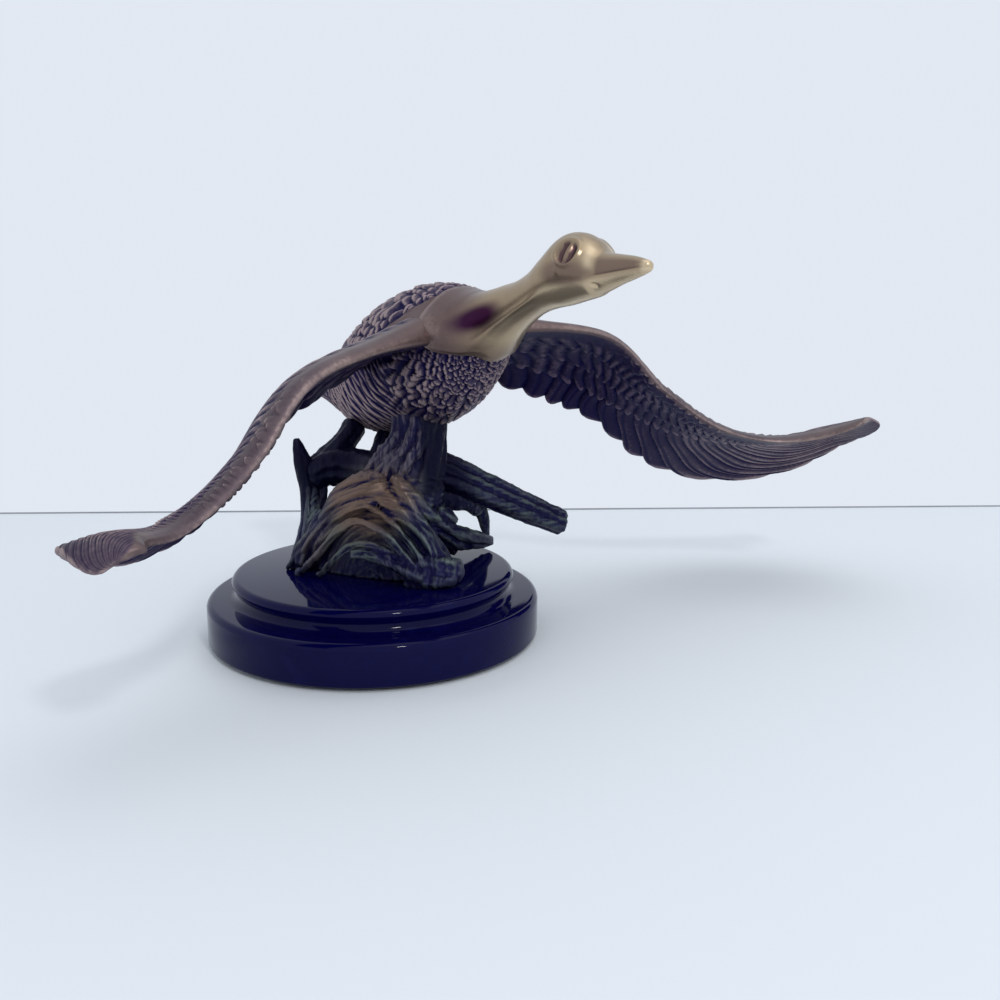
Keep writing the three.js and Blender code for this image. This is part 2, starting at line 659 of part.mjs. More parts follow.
const driftwood = new THREE.Group();
driftwood.position.z = PLINTH_TOP;
driftwood.add(
  mesh('stump', stump, BLACK_PATINA),
  mesh('branch', branch, BLACK_PATINA),
  mesh('forked_limb', forkedLimb, BLACK_PATINA),
  mesh('reed_clump', reedClump, BLACK_PATINA),
  mesh('curled_leaf', leaf, BLACK_PATINA),
);

const goose = new THREE.Group();
goose.position.copy(gooseAt);
goose.add(
  mesh('belly_stud', solid(belly(0)), STEEL),
  mesh('body', body, BROWN_PATINA),
  mesh('neck_and_head', neck, POLISHED_BRASS),
  mesh('left_wing', wing(leftStations, 1), BROWN_PATINA),
  mesh('right_wing', wing(rightStations, -1), BROWN_PATINA),
);
driftwood.add(goose);

const sculpture = new THREE.Group();
sculpture.add(base, driftwood);

export default sculpture;
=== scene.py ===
"""Looks of a cast brass goose in flight over a driftwood stump, on a stepped plinth of black stone.

Metres in Blender, millimetres in the values below. +Z is up and the goose heads towards -Y.
"""

import math

import bmesh
import bpy
import numpy as np
from mathutils import Matrix, Vector, noise


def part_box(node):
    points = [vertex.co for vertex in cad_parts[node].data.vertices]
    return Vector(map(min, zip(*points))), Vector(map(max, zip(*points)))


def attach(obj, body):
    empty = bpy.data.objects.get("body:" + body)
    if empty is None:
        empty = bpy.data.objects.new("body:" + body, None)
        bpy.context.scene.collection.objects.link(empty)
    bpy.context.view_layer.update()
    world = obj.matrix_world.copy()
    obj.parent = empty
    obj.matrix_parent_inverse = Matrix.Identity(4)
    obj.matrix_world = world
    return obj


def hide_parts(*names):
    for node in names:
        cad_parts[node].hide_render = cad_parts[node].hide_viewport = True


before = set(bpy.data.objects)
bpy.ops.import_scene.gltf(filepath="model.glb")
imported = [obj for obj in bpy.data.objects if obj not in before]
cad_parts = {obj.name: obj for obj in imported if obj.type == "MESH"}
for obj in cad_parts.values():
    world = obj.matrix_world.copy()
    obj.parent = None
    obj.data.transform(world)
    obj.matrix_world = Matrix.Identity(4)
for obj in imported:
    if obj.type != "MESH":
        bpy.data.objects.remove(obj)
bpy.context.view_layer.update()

# Felt pad: a disc of black felt glued under the plinth.
# It hides the recess of the nut and keeps the stone from scratching what it stands on.
MM = 0.001
FELT_DARK = (0.012, 0.012, 0.016, 1)
FELT_PALE = (0.06, 0.06, 0.07, 1)


class Shade:
    """A socket in a material's node tree; sums and products of sockets add their Math nodes."""

    def __init__(self, tree, socket=None):
        self.tree = tree
        self.socket = socket

    def node(self, kind, sockets=None, settings=None, output=0):
        """New node: its settings come first, then the values or links of its sockets."""
        made = self.tree.nodes.new("ShaderNode" + kind)
        for name, value in (settings or {}).items():
            setattr(made, name, value)
        for name, value in (sockets or {}).items():
            if isinstance(value, Shade):
                self.tree.links.new(value.socket, made.inputs[name])
            else:
                made.inputs[name].default_value = value
        return Shade(self.tree, made.outputs[output])

    def math(self, operation, *values):
        return self.node("Math", dict(enumerate(values)), {"operation": operation})

    def mix(self, factor, first, second):
        """Blend of two colours, which a Mix node takes on sockets 6 and 7 and gives on output 2."""
        return self.node("Mix", {0: factor, 6: first, 7: second}, {"data_type": "RGBA"}, output=2)

    def ramp(self, low, high):
        """0 below low, 1 above high, smooth between."""
        settings = {"interpolation_type": "SMOOTHSTEP"}
        return self.node("MapRange", {0: self, 1: low, 2: high, 3: 0.0, 4: 1.0}, settings)

    def place(self):
        return self.node("TexCoord", output="Object")

    def away(self, spot):
        """Distance from a spot that is given in millimetres."""
        vectors = {0: self.place(), 1: Vector(spot) * MM}
        return self.node("VectorMath", vectors, {"operation": "DISTANCE"}, output="Value")

    def noise(self, scale, detail=4.0, stretch=(1, 1, 1)):
        """Noise with about one grain in each 1 / scale metres."""
        vector = self.node("Mapping", {"Vector": self.place(), "Scale": stretch})
        return self.node("TexNoise", {"Vector": vector, "Scale": scale, "Detail": detail})

    def bump(self, height, strength, distance):
        return self.node("Bump", {"Height": height, "Strength": strength, "Distance": distance})

    def mark(self, name):
        """Number that the mesh carries at each of its points."""
        return self.node("Attribute", settings={"attribute_name": name}, output="Fac")

    def __add__(self, other):
        return self.math("ADD", self, other)

    def __sub__(self, other):
        return self.math("SUBTRACT", self, other)

    def __rsub__(self, other):
        return self.math("SUBTRACT", other, self)

    def __mul__(self, other):
        return self.math("MULTIPLY", self, other)

    __radd__ = __add__
    __rmul__ = __mul__


def finish(name, paint, **constants):
    """New material: constants go onto the shader, and paint gives what changes over the surface."""
    made = bpy.data.materials.new(name)
    made.use_nodes = True
    tree = made.node_tree
    shader = tree.nodes["Principled BSDF"]
    for socket, value in constants.items():
        shader.inputs[socket.replace("_", " ")].default_value = value
    for socket, shade in paint(Shade(tree)).items():
        tree.links.new(shade.socket, shader.inputs[socket])
    return made


def dress(node, material):
    """Gives a CAD node its material."""
    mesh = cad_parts[node].data
    mesh.materials.clear()
    mesh.materials.append(material)


def paint_felt(shade):
    fibres = shade.noise(2600, 6)
    clumps = shade.noise(240, 3)
    tone = shade.mix(fibres * 0.6 + clumps * 0.4, FELT_DARK, FELT_PALE)
    return {"Base Color": tone, "Normal": shade.bump(fibres, strength=0.6, distance=0.0004)}


felt = finish("felt", paint_felt, Roughness=1.0, Sheen_Weight=0.4, Sheen_Roughness=0.6)
dress("felt_pad", felt)

# Plinth: one piece of black stone, turned to two tiers with a cove between them and polished.
# It stands on the felt, and the stud of the stump passes through its middle.
PLINTH_RADIUS = 63.5
TIER_LEDGE = 9.5
UPPER_TIER_HEIGHT = 8.6
TIER_EDGE_RADIUS = 2.4
COVE_RADIUS = 3.6
FOOT_CHAMFER = 1.0
BORE_RADIUS = 3.4
RECESS_RADIUS = 11.0
RECESS_DEPTH = 9.0
PLINTH_FACETS = 192
SHARP_EDGE = math.radians(50)
MERGE_REACH = 1e-6
STONE_BLACK = (0.0008, 0.0008, 0.036, 1)
STONE_VEIN = (0.002, 0.002, 0.046, 1)


def arc(radius, height, size, start, end, steps=7):
    """Part of a circle as profile points, from one angle to the other in degrees."""
    angles = [math.radians(start + (end - start) * step / steps) for step in range(steps + 1)]
    return [(radius + size * math.cos(a), height + size * math.sin(a)) for a in angles]


def settle(name, bm):
    """Mesh of a bmesh that is done."""
    mesh = bpy.data.meshes.new(name)
    bm.to_mesh(mesh)
    bm.free()
    return mesh


def put(name, data):
    """New object in the scene."""
    made = bpy.data.objects.new(name, data)
    bpy.context.scene.collection.objects.link(made)
    return made


def keep(name, mesh, material, node):
    """Turns a mesh into a piece that stands for a CAD node."""
    mesh.shade_smooth()
    mesh.materials.clear()
    mesh.materials.append(material)
    piece = put(name, mesh)
    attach(piece, "root")
    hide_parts(node)
    return piece


def paint_stone(shade):
    smudge = shade.noise(28, 5)
    dust = shade.noise(900, 2)
    veins = shade.noise(160, 6).ramp(0.5, 0.75)
    return {
        "Base Color": shade.mix(veins, STONE_BLACK, STONE_VEIN),
        "Roughness": smudge.ramp(0.35, 0.8) * 0.06 + dust.ramp(0.66, 0.75) * 0.05 + 0.05,
    }


foot, plinth_top = (corner.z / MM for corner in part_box("plinth"))
ledge = plinth_top - UPPER_TIER_HEIGHT
upper_radius = PLINTH_RADIUS - TIER_LEDGE
recess_top = foot + RECESS_DEPTH
profile = [
    (RECESS_RADIUS, foot),
    (PLINTH_RADIUS - FOOT_CHAMFER, foot),
    *arc(PLINTH_RADIUS - FOOT_CHAMFER, foot + FOOT_CHAMFER, FOOT_CHAMFER, -90, 0, 4),
    *arc(PLINTH_RADIUS - TIER_EDGE_RADIUS, ledge - TIER_EDGE_RADIUS, TIER_EDGE_RADIUS, 0, 90),
    *arc(upper_radius + COVE_RADIUS - TIER_EDGE_RADIUS, ledge + COVE_RADIUS, COVE_RADIUS, 270, 180),
    *arc(upper_radius - TIER_EDGE_RADIUS, plinth_top - TIER_EDGE_RADIUS, TIER_EDGE_RADIUS, 0, 90),
    (BORE_RADIUS, plinth_top),
    (BORE_RADIUS, recess_top),
    (RECESS_RADIUS, recess_top),
]
bm = bmesh.new()
corners = [bm.verts.new((radius * MM, 0, height * MM)) for radius, height in profile]
edges = [bm.edges.new(pair) for pair in zip(corners, corners[1:] + corners[:1])]
bmesh.ops.spin(
    bm, geom=corners + edges, axis=(0, 0, 1), cent=(0, 0, 0),
    angle=2 * math.pi, steps=PLINTH_FACETS, use_merge=True,
)
bmesh.ops.remove_doubles(bm, verts=bm.verts, dist=MERGE_REACH)
bmesh.ops.recalc_face_normals(bm, faces=bm.faces)
black_stone = finish("black_stone", paint_stone, IOR=1.52, Specular_IOR_Level=0.12)
plinth = keep("turned_plinth", settle("turned_plinth", bm), black_stone, "plinth")
plinth.data.set_sharp_from_angle(angle=SHARP_EDGE)

# Stud, washer, nut and belly stud: plain zinc-plated steel from stock.
# They pull the stump onto the plinth and hold the goose on the trunk.
STEEL_DULL = (0.42, 0.43, 0.45, 1)
STEEL_BRIGHT = (0.62, 0.63, 0.64, 1)


def paint_steel(shade):
    wear = shade.noise(420, 5)
    brushed = shade.noise(900, 3, (1, 1, 0.08))
    return {
        "Base Color": shade.mix(wear, STEEL_DULL, STEEL_BRIGHT),
        "Roughness": brushed * 0.25 + 0.22,
        "Normal": shade.bump(brushed, strength=0.2, distance=0.0001),
    }


steel = finish("zinc_steel", paint_steel, Metallic=1.0)
for fastener in ("mounting_stud", "flat_washer", "hex_nut", "belly_stud"):
    dress(fastener, steel)

# Stump: a cast driftwood trunk with a hooded root whose folds drape over a hollow, and roots all round.
# It is patinated blue-black, rubbed golden and grey-green on the ridges, and stands on the plinth.
CASTING_VOXEL = 0.55
SOFTEN_ROUNDS = 2
HOOD_TURN = math.radians(-59)

# Levels above the plinth: height, side, aft, long and short half widths
HOOD_LEVELS = np.array([
    [0, 0, -4, 33, 13],
    [8, 1, -4, 28, 12],
    [18, 2.5, -3, 20, 11],
    [28, 5, -3, 13, 10],
    [36, 8, -3, 9, 8],
    [42, 10, -2.5, 4, 4],
])
TRUNK_LEVELS = np.array([
    [0, 12, 2, 20, 17],
    [12, 15, 0, 15, 12],
    [28, 17.5, -3, 12, 10],
    [42, 18.5, -4, 10.5, 9.5],
    [66, 19, -4, 11, 10.5],
])

# Folds and roots of the front: radii along each ridge, then points along it
FOLDS = (
    # dome and the broad folds that run from it
    ((3.5, 8.0, 9.0, 6.2), [(-17, 9, 17), (-9, 5, 24), (-1, -2, 30.5), (5, -7, 34)]),
    ((6.0, 5.6, 4.6, 3.4, 2.0),
     [(-1, -4, 31), (1.5, -13, 26), (4.5, -22, 18), (6.5, -31, 10), (8, -38.5, 3)]),
    ((3.0, 3.4, 3.6, 4.6, 4.6, 2.0),
     [(3, -9, 37), (6.5, -15, 31), (11, -18, 24), (22, -14, 15), (36, -10, 8.5), (55, -4, 3)]),
    # draped ridges under the dome, from the outside in
    ((1.2, 1.2, 1.4, 1.5, 1.4, 1.3),
     [(-28, 19, 0), (-25, 10, 9.5), (-17, 6, 20), (-10.5, -1, 27.5),
      (-6, -15, 25), (-1.5, -27, 15.5), (2, -35, 4)]),
    ((1.3, 1.4, 1.5, 1.5, 1.4),
     [(-29, 9, 0), (-24.5, 2, 8), (-19.5, -3.5, 16.5), (-13.5, -8, 22),
      (-9, -17, 20.5), (-5, -26, 13), (-1, -34, 3)]),
    ((1.2, 1.4, 1.4, 1.2),
     [(-25, 0, 1), (-20.5, -7, 9), (-15, -12, 14), (-10, -19, 13.5), (-5, -27, 8.5)]),
    ((1.4, 2.0, 2.4, 2.4),
     [(-18, -13, 11), (-14, -18.5, 11.5), (-10, -23, 9.5), (-5.5, -29.5, 6.5), (-1, -35, 3)]),
    # strips up the left edge
    ((2.2, 2.0, 1.8, 1.4), [(-26, 18.5, 0), (-19.5, 18.5, 9), (-15.5, 22.5, 18), (-13.5, 25.5, 29)]),
    ((2.2, 2.0, 1.7, 1.3), [(-26, 15, 0), (-20, 16, 11), (-15, 20, 20), (-12.5, 23.5, 30)]),
    ((3.0, 2.8, 1.8), [(-26, 12, 2), (-19.5, 12.5, 14), (-14.5, 16, 22)]),
    ((3.2, 3.4, 2.8), [(-25, 12.5, 2), (-19.5, 12, 11), (-13.5, 13, 20)]),
    ((5.5, 5.5, 4.5), [(-22, 18, 1), (-19.5, 11, 10), (-13, 7.5, 19)]),
    # broken stub that leans up to the belly
    ((2.8, 3.0, 2.6), [(-1, 3, 35), (4, 1, 42), (8, -4, 50), (13, -6, 63)]),
    ((2.6, 2.6, 2.4), [(1, -3, 36), (4.5, -7, 43), (9, -10.5, 49), (14, -11, 63)]),
    ((2.4, 2.6, 2.6), [(5, -9, 36), (8.5, -12, 43), (12.5, -13.5, 50), (17, -12.5, 63)]),
    # ridges of the front right, finger and toe
    ((2.6, 2.4, 2.0), [(3, -11, 35), (4, -18, 28.5), (6.5, -25, 19), (9, -31, 10), (11.5, -36, 4)]),
    ((2.2, 3.2, 3.2, 2.4, 0.7),
     [(2, -17, 25), (5, -24, 18.5), (7, -29, 12.5), (9.5, -33, 8), (12, -37.5, 3.5)]),
    ((5.0, 4.6, 3.8), [(1, -28, 6), (7, -35, 6), (14, -39.5, 5)]),
    ((3.6, 3.6, 3.0), [(-4, -27, 3), (3, -36, 3), (10, -40, 3)]),
    ((2.2, 3.0, 2.6), [(20, -13.5, 22), (24.5, -14.5, 20), (27.5, -13, 17)]),
)
BACK_ROOTS = 9
ROOTS_FROM = -25
ROOTS_SWEEP = 200
ROOT_RADII = [3.0, 3.6, 2.4]
TRUNK_STRANDS = 11
STRAND_DEPTH = 0.84
STRAND_LEAN = 60
STRAND_RADII = [3.4, 2.6, 2.2, 2.4, 2.8]
ARCH_PLACE = np.array([-12.0, -16.0])
ARCH_RADIUS = 20
GRAIN_UPRIGHT = (34, 40)
NOISE_FALL = 0.8
NOISE_STEP = 2.1
ANY_SIDE = (0.3, 0.9, 0.2)
FIRST_ROW = 0.002
LAST_ROW = 0.998

# Tones of the patina: rubbed ridges, the two golden places, the black between them and the painted
# shade on the back and right of the trunk
RUBBED_BLUE = (0.085, 0.095, 0.125, 1)
RUBBED_GREEN = (0.1, 0.125, 0.12, 1)
RUBBED_GOLD = (0.175, 0.118, 0.092, 1)
RUBBED_TRUNK = (0.105, 0.092, 0.12, 1)
PATINA_BLACK = (0.003, 0.0026, 0.03, 1)
PATINA_BLUE = (0.008, 0.007, 0.05, 1)
PATINA_PAINTED_SHADE = (0.001, 0.001, 0.016, 1)
GOLDEN_DOME = (-5, -6, 56)
GOLDEN_FOLD = (-22, 3, 36)


def along(values, shares):
    """Smooth curve through a list of numbers or points, read at shares from 0 to 1."""
    values = np.asarray(values, float)
    last = len(values) - 1
    spot = np.clip(shares, 0, 1) * last
    start = np.minimum(spot.astype(int), last - 1)
    past = spot - start
    if values.ndim > 1:
        past = past[:, None]
    before, here, there, after = (values[np.clip(start + step, 0, last)] for step in (-1, 0, 1, 2))
    leave = (there - before) / 2
    arrive = (after - here) / 2
    cubic = (2 * here - 2 * there + leave + arrive) * past ** 3
    return cubic + (3 * there - 3 * here - 2 * leave - arrive) * past ** 2 + leave * past + here


def smooth(low, high, value):
    """0 below low, 1 above high, smooth between."""
    share = np.clip((value - low) / (high - low), 0, 1)
    return share * share * (3 - 2 * share)


def scatter(row, column, seed):
    """Even random number from 0 to 1 for each row and column."""
    return np.modf(np.abs(np.sin(row * 12.9898 + column * 78.233 + seed * 37.719)) * 43758.5453)[0]


def skin(name, rows, columns, shape):
    """Closed skin: a grid whose sides meet and whose ends draw in to a point, moved by shape."""
    bm = bmesh.new()
    bmesh.ops.create_grid(bm, x_segments=rows, y_segments=columns, size=0.5)
    mesh = bpy.data.meshes.new(name)
    bm.to_mesh(mesh)
    flat = np.empty(len(mesh.vertices) * 3)
    mesh.vertices.foreach_get("co", flat)
    shares = flat.reshape(-1, 3)[:, :2] + 0.5
    points, marks = shape(shares[:, 0], shares[:, 1])
    mesh.vertices.foreach_set("co", (points * MM).ravel())
    for mark, values in marks.items():
        layer = mesh.attributes.new(mark, "FLOAT", "POINT")
        layer.data.foreach_set("value", values.astype(np.float32))
    bm.clear()
    bm.from_mesh(mesh)
    bmesh.ops.remove_doubles(bm, verts=bm.verts, dist=MERGE_REACH)
    bmesh.ops.recalc_face_normals(bm, faces=bm.faces)
    bm.to_mesh(mesh)
    bm.free()
    return mesh


def read(mesh):
    """Points of a mesh in millimetres, and its normals."""
    spots = np.empty(len(mesh.vertices) * 3)
    normals = np.empty(len(mesh.vertices) * 3)
    mesh.vertices.foreach_get("co", spots)
    mesh.vertex_normals.foreach_get("vector", normals)
    return spots.reshape(-1, 3) / MM, normals.reshape(-1, 3)


def mark_rub(mesh, rounds, depth):
    """Marks each point from 0 in a crevice to 1 on a ridge, by its height over the smoothed surface."""
    count = len(mesh.vertices)
    spots, normals = read(mesh)
    ends = np.empty(len(mesh.edges) * 2, int)
    mesh.edges.foreach_get("vertices", ends)
    first, second = ends.reshape(-1, 2).T
    links = np.bincount(first, minlength=count) + np.bincount(second, minlength=count)
    even = spots
    for _ in range(rounds):
        total = np.zeros_like(even)
        for axis in range(3):
            total[:, axis] = np.bincount(first, even[second, axis], count)
            total[:, axis] += np.bincount(second, even[first, axis], count)
        even = total / np.maximum(links, 1)[:, None]
    proud = ((spots - even) * normals).sum(1)
    rub = np.clip(0.5 + proud / (2 * depth), 0, 1)
    layer = mesh.attributes.new("rub", "FLOAT", "POINT")
    layer.data.foreach_set("value", rub.astype(np.float32))


def between(rows, start, end):
    """Share along a skin, from 0 to 1 between the few rows that close its start and its end."""
    return np.clip((rows - start) / (1 - start - end), 0, 1)


def close(rows, points, first, last):
    """Draws the first and the last row of a skin in to a point each."""
    points = np.where((rows < FIRST_ROW)[:, None], first, points)
    return np.where((rows > LAST_ROW)[:, None], last, points)


def level_shape(levels, turn):
    """Shape of an upright column that follows level oval sections."""

    def shape(rows, columns):
        share = between(rows, 0.02, 0.02)
        angle = columns * 2 * math.pi
        height, side, aft, long, short = (along(levels[:, i], share) for i in range(5))
        open_end = (rows > FIRST_ROW) & (rows < LAST_ROW)
        run = long * np.cos(angle) * open_end
        wide = short * np.sin(angle) * open_end
        x = side + run * math.cos(turn) - wide * math.sin(turn)
        y = aft + run * math.sin(turn) + wide * math.cos(turn)
        return np.stack([x, y, height + plinth_top], -1), {}

    return shape


def unit(vectors):
    """Vectors at length 1."""
    return vectors / np.linalg.norm(vectors, axis=1)[:, None]


def limb_shape(path, radii, rings, section=None, blunt=0.5):
    """Shape of a limb along a path: section gives its radius as a share, blunt rounds its ends."""
    steps = np.linspace(0, 1, rings + 1)
    middles = along(path, steps)
    tangents = unit(np.gradient(middles, axis=0))
    strides = np.linalg.norm(np.diff(middles, axis=0), axis=1)
    length = strides.sum()
    travel = np.concatenate([[0], np.cumsum(strides)])
    thick = along(radii, steps)
    rounding = np.maximum(thick * blunt, 1e-6)
    nearest = np.minimum(travel, length - travel)
    thick = thick * np.sqrt(1 - np.clip(1 - nearest / rounding, 0, 1) ** 2)
    sides = []
    side = np.cross(tangents[0], ANY_SIDE)
    for tangent in tangents:
        side = side - tangent * side.dot(tangent)
        side = side / np.linalg.norm(side)
        sides.append(side)
    sides = np.array(sides)
    others = np.cross(tangents, sides)

    def shape(rows, columns):
        row = np.round(rows * rings).astype(int)
        angle = columns * 2 * math.pi
        size = thick[row]
        if section is not None:
            size = size * section(rows, angle)
        ring = sides[row] * np.cos(angle)[:, None] + others[row] * np.sin(angle)[:, None]
        return middles[row] + ring * size[:, None] + (0, 0, plinth_top), {}

    return shape


def limb(path, radii, rings=40, columns=20, section=None, blunt=0.5):
    """Closed skin of one limb."""
    return skin("limb", rings, columns, limb_shape(path, radii, rings, section, blunt))


def grooves(count, depth, twist, seed):
    """Section of a limb with uneven lengthwise grooves."""

    def section(rows, angle):
        wave = np.cos(count * angle + twist * rows + seed)
        wave = wave + 0.6 * np.cos((2 * count + 1) * angle - 1.7 * twist * rows + 2 * seed)
        knots = 0.3 * np.sin(5 * rows + 2 * np.cos(angle + seed)) * np.cos(2 * angle + seed)
        return 1 + depth * (wave - 0.4 * np.abs(wave) + knots)

    return section


def fuse(name, skins, voxel):
    """One casting out of overlapping closed skins: their union as a fine mesh, slightly softened."""
    bm = bmesh.new()
    for part in skins:
        bm.from_mesh(part)
        bpy.data.meshes.remove(part)
    work = put(name, settle(name, bm))
    union = work.modifiers.new("union", "REMESH")
    union.mode = "VOXEL"
    union.voxel_size = voxel * MM
    soften = work.modifiers.new("soften", "SMOOTH")
    soften.iterations = SOFTEN_ROUNDS
    graph = bpy.context.evaluated_depsgraph_get()
    cast = bpy.data.meshes.new_from_object(work.evaluated_get(graph))
    cast.name = name
    bpy.data.objects.remove(work)
    return cast


def press(mesh, spots):
    """Gives a mesh new points in millimetres, none of them under the top of the plinth."""
    spots[:, 2] = np.maximum(spots[:, 2], plinth_top)
    mesh.vertices.foreach_set("co", (spots * MM).ravel())
    mesh.update()


def rough(places, octaves):
    """Rough noise at each place."""
    return np.array([noise.fractal(place, NOISE_FALL, NOISE_STEP, octaves) for place in places])


def roughen(mesh, depth, grain, stretch):
    """Weathers a casting: pushes its points in and out by a stretched noise, and flattens its foot."""
    spots, normals = read(mesh)
    proud = rough(spots / grain * stretch, 4)
    press(mesh, spots + normals * (proud * depth)[:, None])


def drape(mesh, depth, grain, reach):
    """Weathers the stump with a grain that arches over its hollow and stands upright in the trunk."""
    spots, normals = read(mesh)
    away = spots[:, :2] - ARCH_PLACE
    run = away[:, 0] * math.cos(HOOD_TURN) + away[:, 1] * math.sin(HOOD_TURN)
    behind = away[:, 1] * math.cos(HOOD_TURN) - away[:, 0] * math.sin(HOOD_TURN)
    rise = spots[:, 2] - plinth_top
    round_arch = np.arctan2(rise, run) * ARCH_RADIUS / reach
    arch = np.stack([np.hypot(run, rise) / grain, round_arch, behind / reach], -1)
    upright = spots / grain * (1, 1, grain / reach)
    in_trunk = smooth(*GRAIN_UPRIGHT, rise)
    proud = rough(arch, 3) * (1 - in_trunk)
    proud += rough(upright, 3) * in_trunk
    press(mesh, spots + normals * (proud * depth)[:, None])


def paint_driftwood(shade):
    rub = shade.mark("rub")
    cloud = shade.noise(60, 4)
    grain = shade.noise(900, 5, (1, 1, 0.35))
    worn = (rub + cloud * 0.4 + grain * 0.3 - 0.36).ramp(0.46, 0.9)
    speck = shade.noise(420, 6).ramp(0.52, 0.7)
    split = {0: shade.place()}
    side, aft, height = (shade.node("SeparateXYZ", split, output=axis) for axis in "XYZ")
    high = height.ramp(0.029, 0.039)
    # painted shade: the back and the right side of the trunk are painted blacker than the patina, and
    # their rubbed ridges are taken away
    behind = (side * 0.61 + aft * 0.76).ramp(0.002, 0.011)
    behind = behind * (1 - side.ramp(0.03, 0.045)) * height.ramp(0.04, 0.052)
    right = (side * 0.78 - aft * 0.62).ramp(0.0165, 0.0205)
    right = right * height.ramp(0.05, 0.057) * (1 - side.ramp(0.03, 0.036))
    trunk_painted_shade = shade.math("MAXIMUM", behind, right)
    golden = 1 - shade.away(GOLDEN_DOME).ramp(0.01, 0.025)
    golden = golden + (1 - shade.away(GOLDEN_FOLD).ramp(0.004, 0.014)) * 0.4
    green = shade.mix(shade.noise(90, 3).ramp(0.4, 0.6), RUBBED_BLUE, RUBBED_GREEN)
    ridge = shade.mix(golden, green, RUBBED_GOLD)
    ridge = shade.mix(height.ramp(0.06, 0.068), ridge, RUBBED_TRUNK)
    veil = shade.mix(cloud.ramp(0.35, 0.7), PATINA_BLACK, PATINA_BLUE)
    veil = shade.mix(trunk_painted_shade, veil, PATINA_PAINTED_SHADE)
    # almost nothing is rubbed bare inside the painted shade
    bare = (worn * (high * 0.65 + 0.35) + speck * 0.18 * (1 - golden)) * (1 - trunk_painted_shade * 0.97)
    gilded = golden * 0.75 * (rub - 0.1).ramp(0.05, 0.4)
    return {
        "Base Color": shade.mix(bare + gilded, veil, ridge),
        "Metallic": bare * 0.4 + 0.3,
        "Roughness": grain * 0.2 + 0.36,
        "Normal": shade.bump(grain, strength=0.5, distance=0.0003),
    }


stump_skins = [
    skin("hood", 40, 64, level_shape(HOOD_LEVELS, HOOD_TURN)),
    skin("trunk", 40, 48, level_shape(TRUNK_LEVELS, 0.0)),
]
for number, (ridge_radii, ridge_path) in enumerate(FOLDS):
    uneven = grooves(count=3, depth=0.13, twist=4, seed=number)
    stump_skins.append(limb(ridge_path, ridge_radii, rings=60, columns=32, section=uneven))
for number in range(TRUNK_STRANDS):
    angle = 2 * math.pi * number / TRUNK_STRANDS + 0.3
    strand = [
        (
            side + STRAND_DEPTH * long * math.cos(angle + height / STRAND_LEAN),
            aft + STRAND_DEPTH * short * math.sin(angle + height / STRAND_LEAN),
            height,
        )
        for height, side, aft, long, short in TRUNK_LEVELS
    ]
    stump_skins.append(limb(strand, STRAND_RADII))
for number in range(BACK_ROOTS):
    angle = math.radians(ROOTS_FROM + ROOTS_SWEEP * number / (BACK_ROOTS - 1))
    reach = 25 + 5 * math.sin(3.7 * number)
    root = [
        (16 + 10 * math.cos(angle), -1 + 9 * math.sin(angle), 20),
        (14 + 17 * math.cos(angle), 2 + 15 * math.sin(angle), 9),
        (12 + reach * math.cos(angle), 2 + 0.85 * reach * math.sin(angle), 2),
    ]
    stump_skins.append(limb(root, ROOT_RADII))
stump_mesh = fuse("driftwood_stump", stump_skins, CASTING_VOXEL)
drape(stump_mesh, depth=0.75, grain=1.6, reach=12)
mark_rub(stump_mesh, rounds=12, depth=0.65)
driftwood = finish("black_driftwood", paint_driftwood, Specular_IOR_Level=0.14)
keep("driftwood_stump", stump_mesh, driftwood, "stump")

# Branch: a broken log with deep lengthwise grooves, cast in brass and patinated as the stump is.
# A tenon at its thick end is brazed into the trunk, on the goose's left.
BRANCH_PATH = [(20, -3.5, 40), (29.5, -5.4, 35.2), (54, -11, 22.8), (83, -17.7, 8.4)]
BRANCH_RADII = [5.0, 7.0, 6.4, 5.2]
branch_bark = grooves(count=3, depth=0.16, twist=0.5, seed=0.6)
branch_mesh = limb(BRANCH_PATH, BRANCH_RADII, rings=220, columns=120, section=branch_bark, blunt=0.45)
roughen(branch_mesh, depth=0.4, grain=3.0, stretch=(0.16, 0.7, 1))
mark_rub(branch_mesh, rounds=8, depth=0.4)
keep("broken_branch", branch_mesh, driftwood, "branch")

# Forked limb: a dark brass casting behind the hood, one arm to the reeds and one up to the belly.
# It has the patina of the stump and is brazed to the trunk.

# Arms of the fork: radii along each, points along it, and the seed of its grooves
LIMB_ARMS = (
    ((6, 7.6, 7.2, 5.0), [(10.5, 7, 37), (3, 20, 37), (-5, 26, 36.6), (-12.5, 29, 32)], 1.1),
    ((5.0, 6.0, 4.8, 5.4), [(-11.5, 28.2, 29), (-3.5, 26.5, 39), (3.5, 26.5, 46), (10, 28, 53)], 2.3),
    ((5.0, 5.2, 5.0, 5.0), [(9, 10, 38), (13, 12, 43), (17, 15, 47), (20, 18, 50)], 0.4),
)
LIMB_STUB = [(-4, 24.5, 35), (-3.2, 24, 31), (-2.6, 23.8, 29)]
LIMB_STUB_RADII = [3.4, 2.4, 1.4]
limb_skins = []
for arm_radii, arm_path, seed in LIMB_ARMS:
    bark = grooves(count=4, depth=0.06, twist=2, seed=seed)
    limb_skins.append(limb(arm_path, arm_radii, rings=90, columns=60, section=bark))
limb_skins.append(limb(LIMB_STUB, LIMB_STUB_RADII, rings=40, columns=30))
limb_mesh = fuse("forked_limb", limb_skins, CASTING_VOXEL)
roughen(limb_mesh, depth=0.4, grain=4.0, stretch=(1, 1, 0.3))
mark_rub(limb_mesh, rounds=8, depth=0.4)
keep("dark_forked_limb", limb_mesh, driftwood, "forked_limb")

# Reeds: upright pointed blades, cast in brass as one clump and patinated as the stump is.
# The clump stands on the plinth, brazed to the left edge of the hood.
BLADE_VOXEL = 0.45

